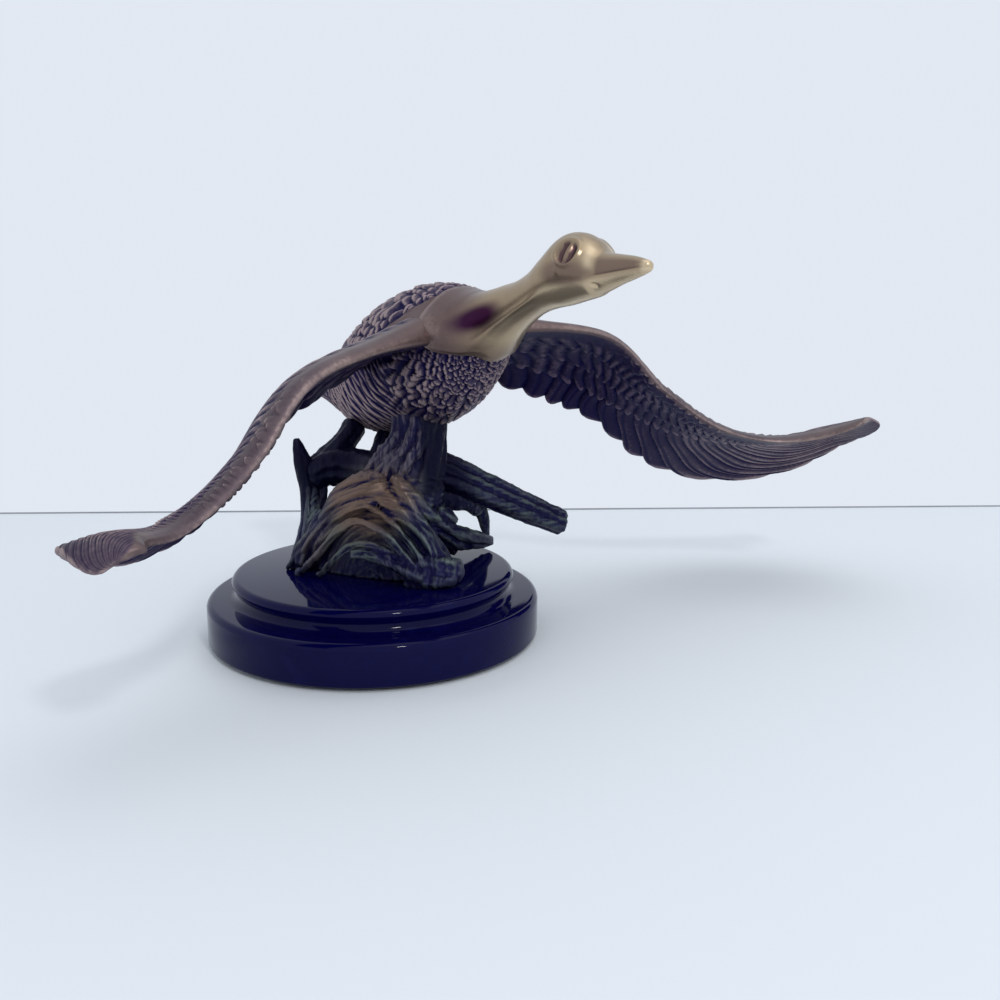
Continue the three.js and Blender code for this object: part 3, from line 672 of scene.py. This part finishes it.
# Blades: radii along each, then points along it
REED_BLADES = (
    ((4.6, 4.5, 4.3, 3.6, 1.3),
     [(-21, 20.5, 0), (-14, 24, 16), (-12.5, 26.5, 28), (-14, 29.5, 39), (-15.6, 31.2, 48.5)]),
    ((4.2, 3.8, 3.4, 2.8, 1.4),
     [(-20, 20, 0), (-14.5, 23.5, 10), (-10.5, 25.5, 19), (-8, 27, 28), (-7, 27.5, 34)]),
    ((2.6, 2.2, 1.8, 0.6), [(-24, 18, 0), (-18.8, 19.5, 10), (-15.5, 22.5, 22), (-14.5, 24.5, 30)]),
    ((2.6, 2.4, 2.0, 1.0), [(-22, 17, 0), (-15.5, 19, 12), (-10, 22.5, 22), (-7, 24.5, 31)]),
)


def flute(rows, angle):
    """Section of a blade: flattened, with a broad groove along one face."""
    flat = 0.68 + 0.32 * np.abs(np.cos(angle)) ** 1.4
    groove = 0.16 * np.exp(-(np.sin(angle) / 0.4 - 2.2) ** 2)
    return flat * (1 - groove)


def blade(path, radii):
    """Closed skin of one pointed blade."""
    return limb(path, radii, rings=120, columns=40, section=flute, blunt=0.3)


reed_skins = [blade(reed_path, reed_radii) for reed_radii, reed_path in REED_BLADES]
reed_mesh = fuse("reed_clump", reed_skins, BLADE_VOXEL)
roughen(reed_mesh, depth=0.35, grain=3.0, stretch=(1, 1, 0.25))
mark_rub(reed_mesh, rounds=8, depth=0.35)
keep("pointed_reeds", reed_mesh, driftwood, "reed_clump")

# Curled leaf: two claw-shaped blades in one brass casting, patinated as the stump is.
# They bend from the trunk, under the branch, down to the plinth.
LEAF_BLADES = (
    ((4.2, 3.8, 2.7, 0.7), [(31, -6, 28), (41.5, -6.5, 25), (48.5, -6, 15), (52.3, -4.5, 1)]),
    ((4.6, 4.6, 3.8, 2.2), [(26, -5, 25), (33, -7, 24), (40, -7.5, 22), (46, -7, 16.5)]),
)
leaf_skins = [blade(leaf_path, leaf_radii) for leaf_radii, leaf_path in LEAF_BLADES]
leaf_mesh = fuse("curled_leaf", leaf_skins, BLADE_VOXEL)
roughen(leaf_mesh, depth=0.35, grain=3.0, stretch=(1, 1, 0.4))
mark_rub(leaf_mesh, rounds=8, depth=0.35)
keep("claw_leaf", leaf_mesh, driftwood, "curled_leaf")

# Goose body: a hollow brass casting whose breast, back and tail are covered with carved feathers.
# It is patinated dark brown, rubbed bright on the raised feathers, and sits on the trunk.
GOOSE_PLACE = np.array([23.0, 0.0, 75.4])

# Sections from bill tip to tail: aft, top, bottom, half width
GOOSE_SECTIONS = np.array([
    [-118.8, 63.5, 63.1, 0.2],
    [-118.0, 64.8, 61.9, 1.6],
    [-116.0, 65.5, 61.0, 2.6],
    [-111.8, 66.4, 59.6, 3.7],
    [-106.5, 67.0, 58.0, 4.8],
    [-101.5, 67.6, 56.2, 6.0],
    [-98.6, 68.5, 55.3, 7.2],
    [-95.0, 71.3, 54.3, 8.6],
    [-90.0, 73.4, 53.2, 9.6],
    [-84.0, 73.0, 51.9, 9.9],
    [-77.0, 68.0, 50.8, 9.2],
    [-70.0, 63.1, 49.0, 8.0],
    [-62.0, 59.5, 45.4, 7.9],
    [-54.0, 57.7, 40.0, 9.2],
    [-47.0, 56.2, 34.6, 11.2],
    [-41.5, 55.4, 29.3, 13.6],
    [-38.0, 55.6, 25.2, 15.2],
    [-34.0, 56.0, 20.6, 17.2],
    [-29.0, 57.0, 15.8, 19.2],
    [-21.0, 58.2, 9.6, 22.0],
    [-6.0, 57.8, 3.2, 24.0],
    [12.0, 52.4, -0.8, 24.0],
    [29.0, 44.2, -1.6, 20.5],
    [45.0, 34.6, 1.0, 15.0],
    [58.0, 27.2, 5.5, 11.5],
    [70.0, 21.0, 9.5, 12.0],
    [82.0, 15.0, 11.5, 15.0],
])
SCALE_HALF_WIDTH = 0.62
SCALE_STRAIGHT = 0.42
SCALE_POINT = 0.58
SPANS = len(GOOSE_SECTIONS) - 1
NECK_SHARE = 18.0 / SPANS
BIB_DROP = 3.9 / SPANS
SEAM_LAP = 0.35 / SPANS
SEAM_SINK = 0.35
BODY_FRONT = (0, -28, 38)
BODY_END = (0, 78, 13)
BODY_ROWS = 320
BODY_COLUMNS = 310
TILE_LENGTH = 4.0
TILES_ROUND = 37
TAIL_FEATHERS = 9
TAIL_SCALLOP = 3.0
TAIL_ROUND = 6.0
FLANK_PITCH = 2.5

# Tones of the brass: dark grooves, brown patina, rubbed feather tops and polished satin, with darker
# tones for painted shade and satins for painted highlights, tarnish and painted dark reflections
GROOVE_BLACK = (0.004, 0.0024, 0.043, 1)
BROWN_DEEP = (0.135, 0.1, 0.132, 1)
BROWN_PALE = (0.2, 0.15, 0.172, 1)
BROWN_PAINTED_SHADE = (0.009, 0.004, 0.038, 1)
TOPS_RUBBED = (0.41, 0.31, 0.3, 1)
TOPS_PAINTED_SHADE = (0.088, 0.058, 0.115, 1)
SATIN_DEEP = (0.3, 0.225, 0.152, 1)
SATIN_PALE = (0.4, 0.305, 0.198, 1)
SATIN_PAINTED_HIGHLIGHT = (0.68, 0.54, 0.36, 1)
SATIN_BROWN = (0.142, 0.088, 0.08, 1)
SATIN_DARKENED = (0.042, 0.008, 0.034, 1)


def scales(flow, across, reach, jitter, seed):
    """Relief of overlapping rounded scales, 0 to 1: rows follow flow, each tip lies on the next row."""
    height = np.zeros_like(flow)
    for back in range(3):
        row = np.floor(flow) - back
        offset = 0.5 * np.mod(row, 2)
        nearest = np.round(across - offset)
        for side in (-1, 0, 1):
            column = nearest + side
            slip = (scatter(row, column, seed) - 0.5) * jitter
            lean = (scatter(row, column, seed + 1) - 0.5) * 2 * jitter
            length = reach * (1 + (scatter(row, column, seed + 2) - 0.5) * jitter)
            run = (flow - row) / length
            wide = (across - offset - column - slip - lean * run) / SCALE_HALF_WIDTH
            tip = np.maximum(0, (run - SCALE_STRAIGHT) / SCALE_POINT)
            inside = (run >= 0) & (tip ** 2 + wide ** 2 < 1)
            dome = np.sqrt(np.clip(1 - wide ** 2 - 0.5 * tip ** 4, 0, 1))
            crown = (0.12 + 0.88 * run ** 1.4) * (0.6 + 0.4 * dome)
            height = np.where(inside, np.maximum(height, crown), height)
    return height


def goose_form(share, turn):
    """Smooth surface of bill, head, neck and body: turn is the angle round it from the goose's left."""
    aft, top, bottom, half = (along(GOOSE_SECTIONS[:, i], share) for i in range(4))
    middle = (top + bottom) / 2
    tall = (top - bottom) / 2
    return np.stack([half * np.cos(turn), aft, middle + tall * np.sin(turn)], -1)


def goose_normal(share, turn):
    """Direction straight out of the smooth surface."""
    step = 1e-3
    run = goose_form(share + step, turn) - goose_form(share - step, turn)
    side = goose_form(share, turn + step) - goose_form(share, turn - step)
    normal = np.cross(side, run)
    return -normal / np.maximum(np.linalg.norm(normal, axis=1), 1e-9)[:, None]


def seam(turn):
    """Share along the goose where the neck casting ends, in a bib that hangs lower in front."""
    front = smooth(0.3, -0.9, np.sin(turn))
    return NECK_SHARE - BIB_DROP * front


def mantle(points):
    """1 on the smooth shoulders and the foot of the neck, 0 on the feathers behind and below them."""
    _, aft, up = points.T
    behind = aft + 31 - (57 - up) * 1.5
    above = up - 37 - 0.15 * np.minimum(0, aft + 35)
    return smooth(1.5, -1.5, behind) * smooth(-0.6, 0.4, above)


def swell(points):
    """Height of the shoulder that the wing's arm runs into, and of the hem under the mantle."""
    side, aft, up = points.T
    gap = ((np.abs(side) - 17) / 9) ** 2
    shoulder = 3.4 * np.exp(-gap - ((aft + 32) / 9) ** 2 - ((up - 42.5) / 6) ** 2)
    return shoulder + 0.9 * smooth(45, 38, up) * smooth(-58, -44, aft)


def sheen(points):
    """How far the brass is polished: fully on the neck, less towards the back of the shoulders."""
    return 0.7 + 0.3 * smooth(-34, -52, points[:, 1])


def tarnish_and_dark_reflection(points):
    """How brown the polished brass has gone: bare on the neck, brown on the back of the shoulders; on
    the head this mark also carries painted dark reflections.
    """
    return 0.85 * smooth(-56, -36, points[:, 1])


def roll(number):
    """Rounded top of a feather, 1 along its middle and 0 in the groove beside it."""
    return 1 - (2 * np.mod(number, 1) - 1) ** 2


def tail_number(turn):
    """Number of the tail feather at an angle round the tail, counted from one side to the other."""
    return np.cos(turn) * TAIL_FEATHERS / 2 + TAIL_FEATHERS / 2


def body_relief(points, share, turn):
    """Height of the carved feathers over the smooth body, and how smooth each place is."""
    _, aft, up = points.T
    high = np.sin(turn)
    across = turn / (2 * math.pi) * TILES_ROUND
    wave = 0.2 * np.sin(aft / 5 + 3 * np.cos(turn)) + 0.2 * np.sin(7 * turn + aft / 8)
    back = scales(aft / TILE_LENGTH + wave, across + wave, reach=1.5, jitter=0.5, seed=4)
    curl = 0.6 * np.sin(up / 2.1 + 2 * np.sin(aft / 3.4)) + 0.5 * np.sin(aft / 2.6 + 5 * turn)
    curled = across * 1.4 + 0.15 * curl
    breast = scales(share * 104 + 0.35 * curl, curled, reach=1.9, jitter=0.9, seed=11)
    lie = aft * 0.75 - up * 0.66
    bend = 1.4 * np.sin(up / 3.7 + aft / 9) + 0.9 * np.sin(aft / 2.9 + up / 4)
    strand = 0.5 + 0.5 * np.sin(lie * FLANK_PITCH + bend)
    row = np.floor(lie * FLANK_PITCH / (2 * math.pi))
    uneven = np.sin((aft * 0.66 + up * 0.75) / 2.4 + 3 * row)
    strand = strand ** 0.7 * (0.7 + 0.3 * uneven)
    flank = smooth(-14, 0, aft) * smooth(0.35, 0.05, high)
    upper = smooth(-0.05, 0.2, high)
    lower = breast * 1.6 * (1 - flank) + (0.1 + 1.5 * strand) * flank
    feathers = lower * (1 - upper) + back * 1.9 * upper - 1.1
    number = tail_number(turn)
    beside = np.mod(number, 1) - 0.5
    barb = 0.16 * np.sin(aft * 3.1 + 9 * np.abs(beside))
    shaft = 0.5 * np.exp(-(beside / 0.07) ** 2)
    quill = 1.5 * roll(number) ** 0.7 - shaft + barb - 0.9
    fan = smooth(44, 58, aft + 3 * np.sin(5 * turn))
    feathers = feathers * (1 - fan) + quill * fan
    cover = mantle(points)
    return feathers * (1 - cover) + swell(points) * cover, cover


def body_painted_shade(points, turn):
    """How far painted shade darkens the feathers: a little under the belly, most below the root of a
    wing.
    """
    belly = smooth(-0.2, -0.9, np.sin(turn)) * 0.15
    under_wing = points[:, 2] - 43 + 0.3 * (points[:, 1] + 30)
    armpit = smooth(-20, -4, under_wing) * smooth(3, -1, under_wing) * smooth(24, 4, points[:, 1])
    return np.maximum(belly, 0.75 * armpit * smooth(0.35, 0.8, np.abs(np.cos(turn))))


def body_shape(rows, columns):
    """Shape of the body, with its marks: polish, tarnish and painted shade."""
    turn = columns * 2 * math.pi
    start = seam(turn) - SEAM_LAP
    share = start + (1 - start) * between(rows, 0.01, 0.01)
    points = goose_form(share, turn)
    relief, cover = body_relief(points, share, turn)
    relief = relief - SEAM_SINK * np.clip(1 - (share - start) / SEAM_LAP, 0, 1)
    spread = points + goose_normal(share, turn) * relief[:, None]
    ending = smooth(56, 82, points[:, 1])
    notch = TAIL_SCALLOP * (1 - roll(tail_number(turn))) * ending ** 4
    spread[:, 1] -= notch + TAIL_ROUND * np.cos(turn) ** 2 * ending
    return close(rows, spread, BODY_FRONT, BODY_END) + GOOSE_PLACE, {
        "polish": cover * sheen(points),
        "tarnish_and_dark_reflection": tarnish_and_dark_reflection(points),
        "painted_shade": body_painted_shade(points, turn) * (1 - cover),
    }


def paint_brass(shade):
    rub = shade.mark("rub")
    polish = shade.mark("polish")
    painted_shade = shade.mark("painted_shade")
    cloud = shade.noise(70, 4)
    grain = shade.noise(700, 5)
    worn = (rub + cloud * 0.3 + grain * 0.24 - 0.245).ramp(0.36, 0.84)
    brown = shade.mix(cloud, BROWN_DEEP, BROWN_PALE)
    # painted shade darkens the brown patina and the rubbed tops: a little under the belly, most below
    # the wing roots and under the wings
    brown = shade.mix(painted_shade, brown, BROWN_PAINTED_SHADE)
    patina = shade.mix(worn, GROOVE_BLACK, brown)
    tops = shade.mix(painted_shade, TOPS_RUBBED, TOPS_PAINTED_SHADE)
    feathers = shade.mix(worn.ramp(0.58, 1.0) * 0.72, patina, tops)
    satin = shade.mix(cloud, SATIN_DEEP, SATIN_PALE)
    # painted highlights on jaw, throat, forehead and bill tip brighten the satin
    satin = shade.mix(shade.mark("painted_highlight"), satin, SATIN_PAINTED_HIGHLIGHT)
    # brown satin: tarnish on shoulders and wings, and painted dark reflections on cheek and bill
    satin = shade.mix(shade.mark("tarnish_and_dark_reflection"), satin, SATIN_BROWN)
    # painted dark reflection on the side of the neck, and the darker eye sockets
    satin = shade.mix(shade.mark("dark_reflection_and_eye"), satin, SATIN_DARKENED)
    return {
        "Base Color": shade.mix(polish, feathers, satin),
        "Metallic": polish * 0.22 + 0.6,
        "Roughness": (1 - polish) * 0.19 + grain * 0.06 + 0.26,
        "Normal": shade.bump(grain, strength=0.25, distance=0.0002),
    }


brass = finish("patinated_brass", paint_brass, Specular_IOR_Level=0.12)
body_mesh = skin("carved_body", BODY_ROWS, BODY_COLUMNS, body_shape)
mark_rub(body_mesh, rounds=8, depth=0.55)
keep("carved_body", body_mesh, brass, "body")

# Neck and head: a brass casting, filed smooth and polished, with an open bib at its lower edge.
# It plugs into the front of the body.
NECK_ROWS = 260
NECK_COLUMNS = 180
EYE_AFT = -91.0
EYE_UP = 67.5
EYE_LONG = 4.2
EYE_TALL = 3.7
MOUTH_AFT = -99
MOUTH_UP = 60.4
MOUTH_SLOPE = 0.15
BILL_TIP = (0, -118.8, 63.3)
NECK_END = (0, -32, 40)


def over_mouth(points):
    """Height over the line of the mouth, which rises towards the tip of the bill."""
    return points[:, 2] - MOUTH_UP + (points[:, 1] - MOUTH_AFT) * MOUTH_SLOPE


def head_relief(points, turn):
    """Height of eyes, bill and neck folds over the smooth head, and how dark the eyes are."""
    _, aft, up = points.T
    high = np.sin(turn)
    ahead = (aft - EYE_AFT + 0.1 * (EYE_UP - up)) / EYE_LONG
    above = (up - EYE_UP) / EYE_TALL
    away = np.hypot(ahead, above)
    flank = smooth(0.97, 0.85, high)
    lid = 0.65 * np.exp(-((away - 1) / 0.16) ** 2)
    socket = -0.6 * smooth(0.95, 0.75, away)
    wave = np.cos(7.5 * ahead + 1.5 * above + 0.6)
    slits = 0.5 * wave * smooth(0.85, 0.6, away)
    tail = 0.3 * np.exp(-((ahead - 0.75) / 0.25) ** 2 - ((above + 1.35) / 0.4) ** 2)
    eye = flank * (lid + socket + slits + tail)
    face = 0.4 * smooth(-100.2, -97.4, aft + 0.14 * (up - 62))
    lips = smooth(-98, -100.5, aft) * smooth(-119, -116, aft)
    mouth = -0.3 * np.exp(-(over_mouth(points) / 0.4) ** 2) * lips
    tendon = 0.7 * np.exp(-((high + 0.55) / 0.16) ** 2) * smooth(-40, -52, aft) * smooth(-82, -70, aft)
    corner = -0.7 * np.exp(-(((aft + 100.2) / 0.8) ** 2 + ((up - 57.8) / 0.5) ** 2))
    stroke = smooth(0.35, -0.2, wave)
    dark = flank * smooth(0.92, 0.78, away) * (0.3 + 0.5 * stroke)
    return eye + face + mouth + tendon + corner, dark


def head_tint(points, turn):
    """How brown cheek and bill are painted, as dark reflections, and how bright jaw, throat, forehead
    and tip are painted, as highlights.
    """
    _, aft, up = points.T
    high = np.sin(turn)
    over = over_mouth(points)
    cheek = 0.6 * smooth(1.25, 0.6, np.hypot((aft + 90.5) / 10, (up - 61.5) / 4))
    bill = 0.65 * smooth(-100, -102, aft) * smooth(-117.5, -114, aft)
    bill = bill * smooth(-0.3, 0.3, over) * smooth(0.9, 0.5, high)
    jaw = 0.75 * smooth(0, -1.5, over) * smooth(-72, -84, aft)
    throat = 0.55 * smooth(-0.45, -0.75, high) * smooth(-84, -74, aft) * smooth(-46, -56, aft)
    streak = 0.85 * np.exp(-((aft + 98.2 - 0.25 * (up - 66)) / 1.5) ** 2)
    streak = streak * smooth(61.5, 64, up) * smooth(0.98, 0.85, high)
    tip = 0.8 * smooth(-115.5, -117.5, aft)
    return np.maximum(cheek, bill), np.clip(jaw + throat + streak + tip, 0, 1)


def neck_shape(rows, columns):
    """Shape of bill, head and neck, with their marks: polish, tarnish with painted dark reflections,
    painted highlights, and a painted dark reflection on the neck together with the dark of the eyes.
    """
    turn = columns * 2 * math.pi
    end = seam(turn) + SEAM_LAP
    share = end * between(rows, 0.005, 0.01)
    points = goose_form(share, turn)
    relief, eye_dark = head_relief(points, turn)
    relief = relief + swell(points) - SEAM_SINK * np.clip(1 - (end - share) / SEAM_LAP, 0, 1)
    spread = points + goose_normal(share, turn) * relief[:, None]
    # painted dark reflection: a maroon patch on the side of the neck
    run = points[:, 1] + 49
    neck_dark_reflection = smooth(1.25, 0.45, np.hypot(run / 11, (points[:, 2] + 0.3 * run - 47) / 4.6))
    # painted dark reflections on cheek and bill, and painted highlights on jaw, throat, forehead and
    # tip
    brown, painted_highlight = head_tint(points, turn)
    return close(rows, spread, BILL_TIP, NECK_END) + GOOSE_PLACE, {
        "polish": sheen(points),
        # real tarnish on the shoulders, painted dark reflections on cheek and bill
        "tarnish_and_dark_reflection": np.maximum(tarnish_and_dark_reflection(points), brown),
        "painted_highlight": painted_highlight,
        # the neck's painted dark reflection, and the dark of the eyes
        "dark_reflection_and_eye": np.maximum(neck_dark_reflection, eye_dark),
    }


neck_mesh = skin("smooth_neck", NECK_ROWS, NECK_COLUMNS, neck_shape)
mark_rub(neck_mesh, rounds=6, depth=0.3)
keep("smooth_neck", neck_mesh, brass, "neck_and_head")

# Wings: two brass castings with an arm roll along the leading edge and rows of feathers on both faces.
# Each has a tenon at its root, brazed into the shoulder.

# Stations from shoulder to tip: out, aft and up of the leading edge,
# chord, and droop of the chord in degrees
LEFT_WING = np.array([
    [6, -29, 43.5, 43, 22],
    [56.5, -43.5, 39.6, 49.5, 35.5],
    [84.5, -50, 17.2, 43, 26],
    [112, -55, 0.6, 50, 23.5],
    [135, -63, -6.6, 56.5, 21.5],
    [148, -78, -5.4, 50.2, 18.5],
    [153.9, -97, 2.3, 27, 23],
])
RIGHT_WING = np.array([
    [6, -31, 43, 42, 14],
    [68, -48, 31.2, 43.5, 31.5],
    [95.7, -58, 8.8, 38.5, 33],
    [111, -63, -2.3, 37, 27.5],
    [123.6, -66.5, -8.5, 37, 16.8],
    [135, -74.2, -7.7, 25.4, 5.7],
    [137.1, -80.4, -8, 16.3, 4.2],
])
WING_BEND = 0.15
WING_ROWS = 380
WING_COLUMNS = 250
ROOT_THICKNESS = 9.0
ROOT_FLARE = 3.0
TIP_THICKNESS = 4.0
EDGE_THICKNESS = 1.6
CAMBER = 0.1
TIP_ROUND = 0.08
NOSE = 0.13
EDGE_CROWDING = 1.3
FLIGHT_COUNT = 25
FEATHER_LEVEL = 0.9

# Rows of coverts: how far they reach over the wing, their count,
# their thickness and the depth of their scallops
COVERTS = (
    (0.72, 38, 0.5, 0.08),
    (0.5, 42, 0.5, 0.07),
    (0.3, 46, 0.4, 0.05),
)


def wing_relief(span, chord):
    """Height of the carved feathers over a smooth wing face, and the flight feather's number."""
    sweep = 0.05 + 0.32 * smooth(0.1, 1.0, span)
    flow = span - sweep * chord ** 1.25
    flight = flow * FLIGHT_COUNT + 0.12 * np.sin(chord * 11 + span * 17)
    shaft = -0.25 * np.exp(-((np.mod(flight, 1) - 0.45) / 0.09) ** 2)
    fine = 0.25 * roll(flight * 2) * smooth(0.45, 0.7, span)
    height = roll(flight) ** 0.6 + 0.5 * (1 - np.mod(flight, 1)) + shaft + fine
    hand = smooth(0.25, 0.8, span)
    for end, count, thick, scallop in COVERTS:
        limit = end * (1 - 0.85 * hand)
        lie = span - (sweep + 0.06) * chord ** 1.35
        number = lie * count + 0.25 * np.sin(chord * 13 + span * 31 + count)
        edge = limit - scallop * (1 - roll(number))
        cover = smooth(0.007, -0.007, chord - edge)
        own = 1.2 * roll(number) ** 0.6 + thick + 0.5 * np.clip(chord / np.maximum(limit, 0.05), 0, 1)
        height = height * (1 - cover) + cover * own
    return height, flight


def wing_shape(stations, side, tip_width):
    """Shape of one wing: side is 1 on the goose's left and -1 on its right."""
    edge_points = stations[:, :3]

    def shape(rows, columns):
        span = between(rows, 0.004, 0.004)
        face = np.where(columns < 0.5, 1.0, -1.0)
        chord = np.abs(2 * columns - 1) ** EDGE_CROWDING
        edge = along(edge_points, span)
        tangent = along(edge_points, np.minimum(span + WING_BEND, 1))
        tangent = unit(tangent - along(edge_points, np.maximum(span - WING_BEND, 0)))
        length = along(stations[:, 3], span)
        droop = np.radians(along(stations[:, 4], span))
        back = np.stack([0 * span, np.cos(droop), -np.sin(droop)], -1)
        back = unit(back - tangent * (back * tangent).sum(1)[:, None])
        normal = unit(np.cross(tangent, back))
        relief, flight = wing_relief(span, chord)
        relief += (FEATHER_LEVEL - relief) * 0.7 * smooth(0.82, 0.94, span)
        down = scales(chord * length / 3.2, span * 62, reach=1.6, jitter=0.7, seed=7)
        down = down * smooth(0.14, 0.3, span) * smooth(0.62, 0.45, span)
        arm = smooth(0.08, 0.2, chord)
        end = 1 - 0.06 * (1 - roll(flight)) * smooth(0.5, 1, chord) * smooth(0.98, 0.86, span)
        past = np.clip((span - 1 + TIP_ROUND) / TIP_ROUND, 0, 1)
        squeeze = tip_width + (1 - tip_width) * np.sqrt(1 - past ** 2)
        place = 0.5 + (chord * end - 0.5) * squeeze
        thick = (ROOT_THICKNESS + (TIP_THICKNESS - ROOT_THICKNESS) * np.sqrt(span)) / 2
        thick += ROOT_FLARE * smooth(0.11, 0.02, span)
        thin = EDGE_THICKNESS / 2
        half = thin + (thick - thin) * (1 - chord) ** 2
        half *= np.sqrt(1 - (1 - np.clip(chord / NOSE, 0, 1)) ** 2)
        rim = np.sqrt(1 - np.clip((chord - 0.96) / 0.04, 0, 1) ** 2)
        carved = half + (relief - FEATHER_LEVEL) * arm
        carved += (0.9 * down - 0.3) * (1 - arm) * smooth(0, 0.04, chord)
        offset = carved * rim * squeeze
        lift = CAMBER * length * np.sin(math.pi * np.clip(place, 0, 1) ** 0.8)
        points = edge + back * (length * place)[:, None] + normal * (lift + face * offset)[:, None]
        points = close(rows, points, points[span == 0].mean(0), points[span == 1].mean(0))
        upper = np.where(face > 0, 1.0, smooth(0.05, 0.02, chord))
        root = smooth(0.2, 0.04, span)
        polish = smooth(0.18, 0.1, chord) * (0.3 + 0.4 * root) * upper
        polish += 0.12 * smooth(0.6, 0.9, span)
        # painted shade on the underside of the wing, weaker towards the tip
        painted_shade = 0.9 * (1 - upper) * smooth(0.02, 0.08, chord) * (1 - 0.65 * smooth(0.4, 0.75, span))
        points *= np.array([side, 1, 1])
        return points + GOOSE_PLACE, {"polish": polish, "tarnish_and_dark_reflection": 0.5 + 0.35 * root, "painted_shade": painted_shade}

    return shape


for wing_name, node, stations, side, tip_width in (
    ("feathered_left_wing", "left_wing", LEFT_WING, 1, 0.6),
    ("feathered_right_wing", "right_wing", RIGHT_WING, -1, 0.3),
):
    wing_mesh = skin(wing_name, WING_ROWS, WING_COLUMNS, wing_shape(stations, side, tip_width))
    mark_rub(wing_mesh, rounds=6, depth=0.4)
    keep(wing_name, wing_mesh, brass, node)

# Camera: a 36 mm lens on a 36 mm square frame.
# It stands at the photograph's viewing angle, in front of the goose and to its right.
CAMERA_PLACE = (-196.89, -323.25, 132.70)
CAMERA_RIGHT = Vector((0.7808, -0.6248, 0.0055))
CAMERA_UP = Vector((0.1262, 0.1663, 0.978))
optics = bpy.data.cameras.new("camera")
optics.lens = 36
optics.sensor_width = 36
optics.sensor_fit = "HORIZONTAL"
optics.clip_start = 0.01
camera = put("camera", optics)
turned = Matrix((CAMERA_RIGHT, CAMERA_UP, CAMERA_RIGHT.cross(CAMERA_UP))).transposed()
camera.matrix_world = Matrix.Translation(Vector(CAMERA_PLACE) * MM) @ turned.to_4x4()
bpy.context.scene.camera = camera

# Floor: a plain pale board that the sculpture stands on.
# It ends a little way behind it, nearly square to the view.
FLOOR_REACH = 3.0
FLOOR_BEHIND = 0.214
FLOOR_TURN = math.radians(3.4)
BOARD_DARK = (0.74, 0.775, 0.8, 1)
BOARD_PALE = (0.775, 0.81, 0.835, 1)


def paint_board(shade):
    return {"Base Color": shade.mix(shade.noise(3, 2), BOARD_DARK, BOARD_PALE)}


def set_behind(name, bm, material):
    """Turns a mesh to the view, moves it to the far edge of the floor and makes it an object."""
    bmesh.ops.rotate(bm, verts=bm.verts, cent=(0, 0, 0), matrix=facing)
    bmesh.ops.translate(bm, verts=bm.verts, vec=level * FLOOR_BEHIND)
    mesh = settle(name, bm)
    mesh.materials.append(material)
    return put(name, mesh)


forward = -CAMERA_RIGHT.cross(CAMERA_UP)
level = Vector((forward.x, forward.y, 0)).normalized()
facing = Matrix.Rotation(math.atan2(-level.x, level.y) + FLOOR_TURN, 3, "Z")
bm = bmesh.new()
bmesh.ops.create_grid(bm, x_segments=2, y_segments=2, size=FLOOR_REACH)
bmesh.ops.translate(bm, verts=bm.verts, vec=(0, -FLOOR_REACH, 0))
floor = set_behind("floor", bm, finish("pale_board", paint_board, Roughness=0.7))

# Shade line: a thin grey strip along the far edge of the floor, painted shade for the dark line where
# the board meets the backdrop. It is a narrow bar, half sunk in the board.
SHADE_LINE_WIDTH = 0.0006
SHADE_LINE_HEIGHT = 0.0008
SHADE_LINE_DARK = (0.22, 0.23, 0.25, 1)
SHADE_LINE_PALE = (0.42, 0.43, 0.45, 1)


def paint_shade_line(shade):
    return {"Base Color": shade.mix(shade.noise(20, 3), SHADE_LINE_DARK, SHADE_LINE_PALE)}


bm = bmesh.new()
bmesh.ops.create_cube(bm, size=1)
bmesh.ops.scale(bm, verts=bm.verts, vec=(2 * FLOOR_REACH, SHADE_LINE_WIDTH, 2 * SHADE_LINE_HEIGHT))
shade_line = set_behind("shade_line", bm, finish("grey_shade_line", paint_shade_line, Roughness=0.8))

# Light: one soft lamp overhead and a smaller one above the camera.
# A pale room all round fills the shadows and is the background.
ROOM_TONE = (0.76, 0.81, 0.89, 1)


def lamp(name, place, target, size, power, colour):
    """Round lamp at a place, turned to its target."""
    data = bpy.data.lights.new(name, "AREA")
    data.shape = "DISK"
    data.size = size
    data.energy = power
    data.color = colour
    made = put(name, data)
    made.location = place
    made.rotation_euler = (Vector(target) - Vector(place)).to_track_quat("-Z", "Y").to_euler()


lamp("overhead", (0.2, -0.17, 1.1), (0, 0, 0.05), size=1.0, power=1.5, colour=(1, 0.98, 0.95))
lamp("front", (-0.23, -1.0, 0.9), (0, 0, 0.08), size=0.13, power=3.4, colour=(1, 0.98, 0.96))
world = bpy.data.worlds.new("room")
bpy.context.scene.world = world
world.use_nodes = True
background = world.node_tree.nodes["Background"]
background.inputs["Color"].default_value = ROOM_TONE
background.inputs["Strength"].default_value = 1.0
bpy.context.scene.view_settings.view_transform = "Standard"
